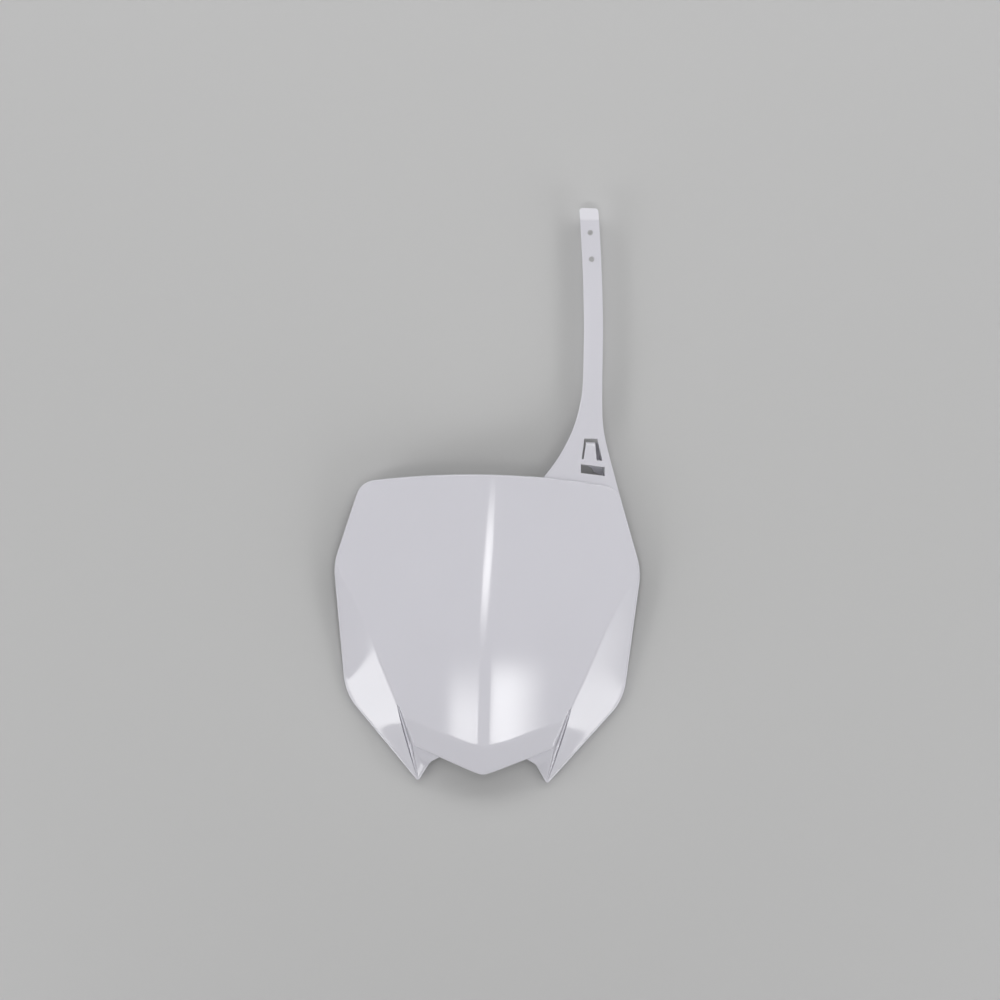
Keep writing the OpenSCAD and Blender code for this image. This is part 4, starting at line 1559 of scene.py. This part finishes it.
    def build(self, origin_y: float, material: bpy.types.Material) -> bpy.types.Object:
        """Build the strap without its window and slot.

        Args:
            origin_y: Place of the frame's origin along the board, in millimetres.
            material: Its plastic.

        Returns:
            The strap's object.
        """
        strap = self.grid(origin_y)
        sizes = face_sizes(self.form, origin_y) | {
            "Root drop": self.root_drop * MM,
            "Level from": (self.top_y + self.level_from - origin_y) * MM,
            "Level length": self.level_len * MM,
            "Level height": self.height * MM,
            "Tip from": (self.tip_y - self.tip_len - origin_y) * MM,
            "Tip length": self.tip_len * MM,
            "Tip fall": self.tip_fall * MM,
        }
        Workshop.grow(strap, self.drape_tree(material), sizes)
        Workshop.modify(strap, "SOLIDIFY", thickness=self.thickness * MM, offset=-1.0)
        Workshop.bevel(strap, self.edge_r, self.sharp_from)
        Workshop.bake(strap)
        Workshop.cut(strap, [self.hole_cutter(k, origin_y) for k in range(2)])
        return strap

    def hole_cutter(self, k: int, origin_y: float) -> bpy.types.Object:
        """Return the round cutter of one hole.

        Args:
            k: Number of the hole, counted from the strap's end.
            origin_y: Place of the frame's origin along the board, in millimetres.

        Returns:
            The cutter.
        """
        y = self.tip_y - self.hole_end - k * self.hole_pitch
        to = Matrix.Translation((self.middle(y) * MM, (y - origin_y) * MM, 0))
        ring, reach = circle(self.hole_d / 2, self.hole_sides), self.hole_reach
        return Workshop.prism("hole", ring, self.height - reach, self.height + reach, to)


@dataclass
class HoseGuide:
    """Window, slot, tongue and leaf in the strap's root, which hold the hose that runs behind it."""

    strap: HandlebarStrap
    shift_x: float = 1.2
    window_y: float = 13.4
    window_h: float = 16.8
    window_w: float = 17.0
    window_top_w: float = 10.4
    window_slant: float = 0.5
    window_lean: float = 1.8
    slot_h: float = 7.0
    slot_w: float = 19.4
    slot_slant: float = 1.0
    slot_shift: float = 0.5
    bridge: float = 4.6
    tongue_w: float = 7.0
    tongue_t: float = 1.8
    tongue_flare: float = 1.55
    tongue_base_x: float = 1.4
    tongue_tip_x: float = 4.2
    tongue_gap: float = 2.4
    tongue_steps: int = 6
    curl_steps: int = 8
    curl_r: float = 3.2
    curl_drop: float = 0.8
    gap: float = 7.0
    leaf_t: float = 1.8
    wall_x: float = 11.4
    wall_lean: float = 4.2
    leaf_top_w: float = 5.6
    leaf_gap: float = 1.4
    leaf_rise: float = 0.9
    leaf_low: tuple[Point, ...] = ((-0.6, 6.6), (2.1, 5.6), (3.4, 2.5), (8.3, 0.6))
    depth: float = 20.0
    edge_r: float = 0.35
    sharp_from: float = 40.0
    reach: float = 5.0

    def to_frame(self, origin_y: float) -> Matrix:
        """Return the move from the guide's own axes to the frame.

        Args:
            origin_y: Place of the frame's origin along the board, in millimetres.

        Returns:
            The move, in metres.
        """
        s, r = self.strap, self.reach
        x, y = s.middle_x + self.shift_x, s.top_y + self.window_y
        roll = math.atan((s.surface_z(x - r, y) - s.surface_z(x + r, y)) / (2 * r))
        pitch = math.atan((s.surface_z(x, y + r) - s.surface_z(x, y - r)) / (2 * r))
        place = Matrix.Translation((x * MM, (y - origin_y) * MM, s.surface_z(x, y) * MM))
        return place @ Matrix.Rotation(roll, 4, "Y") @ Matrix.Rotation(pitch, 4, "X")

    def window(self, to: Matrix) -> bpy.types.Object:
        """Return the window's cutter.

        Args:
            to: The move to the frame.

        Returns:
            The cutter.
        """
        half, top, lean = self.window_w / 2, self.window_top_w / 2, self.window_lean / 2
        corners = [
            (-half, self.window_slant),
            (half, -self.window_slant),
            (top - lean, self.window_h),
            (-top - lean, self.window_h),
        ]
        return Workshop.prism("window", corners, -self.depth, self.depth, to)

    def slot(self, to: Matrix) -> bpy.types.Object:
        """Return the slot's cutter.

        Args:
            to: The move to the frame.

        Returns:
            The cutter.
        """
        left, right = self.slot_shift - self.slot_w / 2, self.slot_shift + self.slot_w / 2
        low, high = -self.bridge - self.slot_h, -self.bridge
        corners = [
            (left, low + self.slot_slant),
            (right, low - self.slot_slant),
            (right, high - self.slot_slant),
            (left, high + self.slot_slant),
        ]
        return Workshop.prism("slot", corners, -self.depth, self.depth, to)

    def tongue_profile(self, length: float) -> list[Point]:
        """Return the tongue's outline, seen from its side.

        Args:
            length: Distance from the bridge to the tongue's end.

        Returns:
            The corners, out along its front and home along its back.
        """
        foot, bend, end = -self.bridge / 2, length - self.curl_r, -self.curl_r - self.curl_drop
        steps = self.curl_steps
        angles = [math.pi / 2 * (1 - k / steps) for k in range(1, steps + 1)]
        outer, inner = (
            [(bend + r * math.cos(a), r * math.sin(a) - self.curl_r) for a in angles]
            for r in (self.curl_r, self.curl_r - self.tongue_t)
        )
        front = [(foot, 0.0), (0.0, 0.0)]
        front += [(bend * k / self.tongue_steps, 0.0) for k in range(1, self.tongue_steps + 1)]
        back = [(bend, -self.tongue_t), (0.0, -self.tongue_t), (foot, -self.tongue_t)]
        return front + outer + [(length, end), (length - self.tongue_t, end)] + inner[::-1] + back

    def tongue(self, to: Matrix) -> bpy.types.Object:
        """Return the tongue that rises from the bridge and curls down at its end.

        Args:
            to: The move to the frame.

        Returns:
            The tongue's object.
        """
        length = self.window_h - self.tongue_gap
        base_x, tip_x = (x - self.window_w / 2 for x in (self.tongue_base_x, self.tongue_tip_x))
        base_w = self.tongue_w * self.tongue_flare
        right, left = [], []
        for y, z in self.tongue_profile(length):
            t = clamp(y / length)
            x = mix(base_x, tip_x, t)
            left.append((x, y, z))
            right.append((x + mix(base_w, self.tongue_w, t), y, z))
        return Workshop.loft("guide_tongue", [right, left], to)

    def leaf(self, to: Matrix) -> list[bpy.types.Object]:
        """Return the guide's wall and the leaf that turns in from it behind the strap.

        Args:
            to: The move to the frame.

        Returns:
            The wall and the leaf.
        """
        base = -(self.strap.thickness + self.gap + self.leaf_t)
        top, low = self.window_h - self.leaf_gap, self.leaf_rise - self.bridge - self.slot_h
        inner, outer, lean = self.wall_x, self.wall_x + self.leaf_t, self.wall_lean
        wall = [(inner, low), (outer, low), (outer - lean, top), (inner - lean, top)]
        middle = inner + self.leaf_t / 2
        leaf = [(middle, low), (middle - lean, top), (middle - lean - self.leaf_top_w, top)]
        leaf += [(x, low + y) for x, y in self.leaf_low]
        return [
            Workshop.prism("guide_wall", wall, base, -self.strap.thickness / 2, to),
            Workshop.prism("guide_leaf", leaf, base, base + self.leaf_t, to),
        ]

    def build(self, strap: bpy.types.Object, origin_y: float) -> list[bpy.types.Object]:
        """Cut the window and slot out of the strap and make the pieces behind them.

        Args:
            strap: The strap's object.
            origin_y: Place of the frame's origin along the board, in millimetres.

        Returns:
            The tongue, the wall and the leaf.
        """
        to = self.to_frame(origin_y)
        Workshop.cut(strap, [self.window(to), self.slot(to)])
        pieces = [self.tongue(to), *self.leaf(to)]
        for piece in pieces:
            Workshop.bevel(piece, self.edge_r, self.sharp_from)
            Workshop.bake(piece)
        return pieces


@dataclass
class LocatingPegs:
    """The two pegs on the back that plug into the bracket, each with four gusset ribs."""

    form: FaceForm
    diameter: float = 9.0
    chamfer: float = 1.0
    chamfer_bulge: float = 0.35
    boss_d: float = 11.5
    boss_steps: int = 6
    place_x: float = 34.0
    place_y: float = 50.0
    height: float = 40.0
    gusset_h: float = 16.0
    gusset_t: float = 1.8
    gusset_reach: float = 11.0
    gusset_toe: float = 2.0
    gussets: int = 4
    root_depth: float = 1.21
    sides: int = 64

    @property
    def top(self) -> float:
        """Return the height at which a peg ends inside the wall."""
        return self.form.face_z(self.place_x, self.place_y) - self.root_depth

    @property
    def cone_h(self) -> float:
        """Return the height of the cone from the shaft to the boss."""
        return (self.boss_d - self.diameter) / 2

    def lathe(self) -> bpy.types.Object:
        """Return the shaft, cone and boss of one peg, standing on the ground at the origin.

        Returns:
            The peg's object.
        """
        r, c, step = self.diameter / 2, self.chamfer, self.top - self.gusset_h
        boss_r, boss, n = self.boss_d / 2, step + self.cone_h, self.boss_steps
        levels = [(r - c, 0.0), (r - c / 2, c * self.chamfer_bulge), (r, c), (r, step), (boss_r, boss)]
        levels += [(boss_r, mix(boss, self.height, k / n)) for k in range(1, n + 1)]
        rings = [[(x, y, z) for x, y in circle(radius, self.sides)] for radius, z in levels]
        return Workshop.loft("locating_pegs", rings)

    def rib(self) -> bpy.types.Object:
        """Return one gusset rib, reaching out along +X from the peg's middle.

        Returns:
            The rib's object.
        """
        reach, half = self.gusset_reach, self.gusset_t / 2
        toe = self.form.face_z(self.place_x + reach, self.place_y) - self.root_depth - self.gusset_toe
        low = self.top - self.gusset_h + 2 * self.cone_h
        corners = [(0.0, low), (reach, toe), (reach, self.height), (0.0, self.height)]
        return Workshop.loft("gusset_rib", [[(x, y, z) for x, z in corners] for y in (-half, half)])

    def tree(self, rib: bpy.types.Object, material: bpy.types.Material) -> bpy.types.NodeTree:
        """Return the tree that rings each peg with ribs, sets both in place and seats them under the face.

        Args:
            rib: One rib.
            material: The pegs' plastic.

        Returns:
            The tree.
        """
        graph, given = geometry_tree("set_pegs", [*FACE_SIZES, "Peg place X", "Peg place Y", "Root depth"])
        ribs = graph.node("GeometryNodeObjectInfo", {"transform_space": "ORIGINAL"}, {"Object": rib})
        index = graph.wire(graph.node("GeometryNodeInputIndex"))
        turn = graph.vector(0.0, 0.0, index * (2 * math.pi / self.gussets))
        around = graph.copies(graph.points(self.gussets), graph.wire(ribs, "Geometry"), turn)
        peg = graph.node("GeometryNodeJoinGeometry")
        for part in (given["Geometry"], around):
            graph.tree.links.new(part.socket, peg.inputs[0])
        spread = graph.vector((index * 2 - 1) * given["Peg place X"], given["Peg place Y"], 0.0)
        both = graph.copies(graph.moved(graph.points(2), spread), graph.wire(peg))
        real = graph.wire(graph.node("GeometryNodeRealizeInstances", inputs={0: both}))
        x, y, z = graph.parts(graph.wire(graph.node("GeometryNodeInputPosition")))
        seat = face_height(given, x, y) - given["Root depth"]
        return finish_tree(graph, graph.moved(real, graph.vector(x, y, z.at_most(seat))), material)

    def build(self, origin_y: float, material: bpy.types.Material) -> bpy.types.Object:
        """Build both pegs.

        Args:
            origin_y: Place of the frame's origin along the board, in millimetres.
            material: Their plastic.

        Returns:
            The pegs' object.
        """
        pegs, rib = self.lathe(), self.rib()
        sizes = face_sizes(self.form, origin_y) | {
            "Peg place X": self.place_x * MM,
            "Peg place Y": (self.place_y - origin_y) * MM,
            "Root depth": self.root_depth * MM,
        }
        Workshop.grow(pegs, self.tree(rib, material), sizes)
        bpy.data.objects.remove(rib)
        return pegs


def new_material(name: str) -> tuple[bpy.types.Material, Graph]:
    """Start a node material.

    Args:
        name: Name of the material.

    Returns:
        The material and the graph of its empty tree.
    """
    material = bpy.data.materials.new(name)
    material.use_nodes = True
    return material, Graph(material.node_tree)


@dataclass(frozen=True)
class Pattern:
    """A noise pattern: its waves to a metre and its levels of detail."""

    scale: float
    detail: float

    def wire(self, graph: Graph, place: Wire) -> Wire:
        """Return the pattern's value at a place."""
        inputs = {"Vector": place, "Scale": self.scale, "Detail": self.detail}
        return graph.wire(graph.node("ShaderNodeTexNoise", inputs=inputs))


@dataclass(frozen=True)
class MouldedPlastic:
    """Cool white polypropylene, glossy from a polished mould, with faint waves and fine scuffs."""

    name: str = SLOT
    color: Place = (0.6, 0.594, 0.64)
    tone_range: float = 0.02
    roughness: float = 0.085
    roughness_range: float = 0.025
    ior: float = 1.49
    cloud: Pattern = Pattern(14.0, 2.0)
    scuffs: Pattern = Pattern(160.0, 3.0)
    waves: Pattern = Pattern(9.0, 1.0)
    wave_height: float = 0.00012
    peel: Pattern = Pattern(420.0, 2.0)
    peel_height: float = 0.000004

    def build(self) -> bpy.types.Material:
        """Return the material.

        Returns:
            A node material on Object coordinates.
        """
        material, graph = new_material(self.name)
        place = graph.wire(graph.node("ShaderNodeTexCoord"), "Object")
        cloud, scuffs, waves, peel = (
            pattern.wire(graph, place) for pattern in (self.cloud, self.scuffs, self.waves, self.peel)
        )
        darker = tuple(c * (1 - self.tone_range) for c in self.color)
        lighter = tuple(c * (1 + self.tone_range) for c in self.color)
        tone = graph.node(
            "ShaderNodeMix", {"data_type": "RGBA"}, {0: cloud, 6: (*darker, 1.0), 7: (*lighter, 1.0)}
        )
        rough = self.roughness + (cloud + scuffs - 1.0) * self.roughness_range
        height = waves * self.wave_height + peel * self.peel_height
        bump = graph.node("ShaderNodeBump", inputs={"Strength": 1.0, "Distance": 1.0, "Height": height})
        shader = graph.node(
            "ShaderNodeBsdfPrincipled",
            inputs={
                "Base Color": graph.wire(tone, 2),
                "Roughness": rough,
                "Normal": graph.wire(bump),
                "IOR": self.ior,
            },
        )
        graph.node("ShaderNodeOutputMaterial", inputs={0: graph.wire(shader)})
        return material


@dataclass(frozen=True)
class PaleFloor:
    """The plain pale surface that the board lies on."""

    side: float = 8.0
    color: Place = (0.47, 0.47, 0.47)
    roughness: float = 0.9

    def build(self) -> bpy.types.Object:
        """Return the floor, marked as stage.

        Returns:
            The floor's object.
        """
        half = self.side / 2
        mesh = bpy.data.meshes.new("floor")
        corners = [(-half, -half, 0), (half, -half, 0), (half, half, 0), (-half, half, 0)]
        mesh.from_pydata(corners, [], [(0, 1, 2, 3)])
        material, graph = new_material("floor_card")
        inputs = {"Base Color": (*self.color, 1.0), "Roughness": self.roughness}
        shader = graph.node("ShaderNodeBsdfPrincipled", inputs=inputs)
        graph.node("ShaderNodeOutputMaterial", inputs={0: graph.wire(shader)})
        mesh.materials.append(material)
        floor = Workshop.place("floor", mesh)
        floor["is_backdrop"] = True
        return floor


class LampRole(Enum):
    """What each softbox does."""

    KEY_RIGHT = "key_right"
    KEY_LEFT = "key_left"
    STRIP = "strip"
    MAIN = "main"
    FILL_RIGHT = "fill_right"
    FILL_LEFT = "fill_left"
    SIDE_RIGHT = "side_right"
    SIDE_LEFT = "side_left"


@dataclass(frozen=True)
class Fade:
    """Shares of a softbox over which its light dies away towards each side."""

    left: float = 0.0
    right: float = 0.0
    low: float = 0.0
    high: float = 0.0

    def glow(self, graph: Graph) -> Wire | None:
        """Return the share of the full light at each place of the lamp.

        Args:
            graph: Graph of the lamp's tree.

        Returns:
            The share, or nothing for an even lamp.
        """
        across, along, _ = graph.parts(graph.wire(graph.node("ShaderNodeNewGeometry"), "Parametric"))
        ways = [(across, self.left), (1 - across, self.right), (along, self.low), (1 - along, self.high)]
        parts = [(way / share).eased() for way, share in ways if share > 0]
        return reduce(lambda a, b: a * b, parts) if parts else None


@dataclass(frozen=True)
class Softbox:
    """A rectangular lamp that faces its aim.

    Its long side lies level; turn swings it about the line to its aim, in degrees.
    """

    steep: ClassVar[float] = 0.2
    sideways: ClassVar[float] = 0.7
    role: LampRole
    place: Place
    width: float
    height: float
    radiance: float
    turn: float = 0.0
    aim: Place | None = None
    fade: Fade = Fade()

    def build(self) -> bpy.types.Object:
        """Add the lamp.

        Returns:
            The lamp's object.
        """
        lamp = bpy.data.lights.new(self.role.value, "AREA")
        lamp.shape = "RECTANGLE"
        lamp.size = self.width
        lamp.size_y = self.height
        lamp.energy = self.radiance * math.pi * self.width * self.height
        if self.fade != Fade():
            lamp.use_nodes = True
            graph = Graph(lamp.node_tree)
            glow = graph.node("ShaderNodeEmission", inputs={"Strength": self.fade.glow(graph)})
            graph.node("ShaderNodeOutputLight", inputs={0: graph.wire(glow)})
        place = Vector(self.place)
        back = Vector((0.0, 0.0, 1.0)) if self.aim is None else (place - Vector(self.aim)).normalized()
        level = Vector((0.0, 1.0, 0.0)).cross(back)
        if level.length < self.steep or abs(back.x) > self.sideways:
            level = Vector((0.0, 0.0, 1.0)).cross(back)
        level.normalize()
        axes = Matrix((level, back.cross(level), back)).transposed()
        made = bpy.data.objects.new(self.role.value, lamp)
        swing = Matrix.Rotation(math.radians(self.turn), 4, "Z")
        made.matrix_world = Matrix.Translation(place) @ axes.to_4x4() @ swing
        made.visible_camera = False
        bpy.context.scene.collection.objects.link(made)
        return made


@dataclass(frozen=True)
class Studio:
    """Camera, world and lamps. The camera looks straight down, as in the photograph."""

    roll: float = 1.285
    frame_width: float = 0.790
    centre: Point = (8.81, 98.97)
    lens: float = 300.0
    sensor: float = 36.0
    sight: float = 50.0
    ambient: float = 0.06
    boxes: tuple[Softbox, ...] = (
        Softbox(
            LampRole.KEY_RIGHT,
            (0.445, -0.565, 1.8),
            0.55,
            0.47,
            8.6,
            fade=Fade(left=0.1, right=0.75, high=0.35),
        ),
        Softbox(LampRole.KEY_LEFT, (-0.335, -0.565, 1.8), 0.33, 0.47, 6.5, fade=Fade(left=0.45, high=0.7)),
        Softbox(
            LampRole.STRIP,
            (0.005, 0.0, 0.75),
            0.085,
            0.44,
            9.5,
            turn=-14.0,
            fade=Fade(0.15, 0.15, 0.45, 0.5),
        ),
        Softbox(LampRole.MAIN, (0.0, 1.15, 1.0), 3.0, 0.6, 3.3, aim=ORIGIN),
        Softbox(LampRole.FILL_RIGHT, (1.15, 0.66, 0.93), 1.1, 0.42, 2.2, aim=ORIGIN),
        Softbox(LampRole.FILL_LEFT, (-1.15, 0.66, 0.93), 1.1, 0.42, 2.2, aim=ORIGIN),
        Softbox(
            LampRole.SIDE_RIGHT,
            (1.393, -0.882, 0.53),
            1.144,
            1.06,
            5.2,
            aim=(0.09, -0.16, 0.01),
            fade=Fade(right=0.45),
        ),
        Softbox(LampRole.SIDE_LEFT, (-1.321, -0.926, 0.52), 0.728, 1.02, 6.2, aim=(-0.09, -0.16, 0.01)),
    )

    def build(self, origin_y: float) -> None:
        """Add the camera, the world and the lamps.

        Args:
            origin_y: Place of the frame's origin along the board, in millimetres.
        """
        scene = bpy.context.scene
        scene.view_settings.view_transform = "Standard"
        camera = bpy.data.cameras.new("camera")
        camera.lens = self.lens
        camera.sensor_width = self.sensor
        camera.clip_end = self.sight
        place = bpy.data.objects.new("camera", camera)
        distance = self.frame_width * self.lens / self.sensor
        place.location = (self.centre[0] * MM, (self.centre[1] - origin_y) * MM, distance)
        place.rotation_euler = (0.0, 0.0, math.radians(self.roll))
        scene.collection.objects.link(place)
        scene.camera = place
        world = bpy.data.worlds.new("studio")
        world.use_nodes = True
        graph = Graph(world.node_tree)
        inputs = {"Color": (1.0, 1.0, 1.0, 1.0), "Strength": self.ambient}
        sky = graph.node("ShaderNodeBackground", inputs=inputs)
        graph.node("ShaderNodeOutputWorld", inputs={0: graph.wire(sky)})
        scene.world = world
        for box in self.boxes:
            box.build()


def hand_over(piece: bpy.types.Object, material: bpy.types.Material) -> None:
    """Dress a finished piece and tell the frame what it stands for.

    Args:
        piece: The piece, with a plain mesh in place.
        material: Its plastic.
    """
    piece.data.materials.clear()
    piece.data.materials.append(material)
    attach(piece, BODY)
    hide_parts(NODE)
    LOG.info("%s: %d faces", piece.name, len(piece.data.polygons))


def main() -> None:
    """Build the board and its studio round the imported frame."""
    logging.basicConfig(level=logging.INFO, format="%(name)s: %(message)s")
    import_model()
    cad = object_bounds()
    outline = Outline(Steps())
    form = FaceForm(outline)
    strap_form = HandlebarStrap(form)
    origin_y = strap_form.tip_y - cad[1][1] / MM
    plastic = MouldedPlastic().build()
    shell = BoardShell(form).build(origin_y)
    strap = strap_form.build(origin_y, plastic)
    guide = HoseGuide(strap_form).build(strap, origin_y)
    pegs = LocatingPegs(form).build(origin_y, plastic)
    for piece in (strap, pegs, *guide):
        Workshop.smooth(piece, SMOOTH_BELOW)
    for piece in (shell, strap, pegs, *guide):
        hand_over(piece, plastic)
    PaleFloor().build()
    Studio().build(origin_y)


if __name__ == "__main__":
    main()
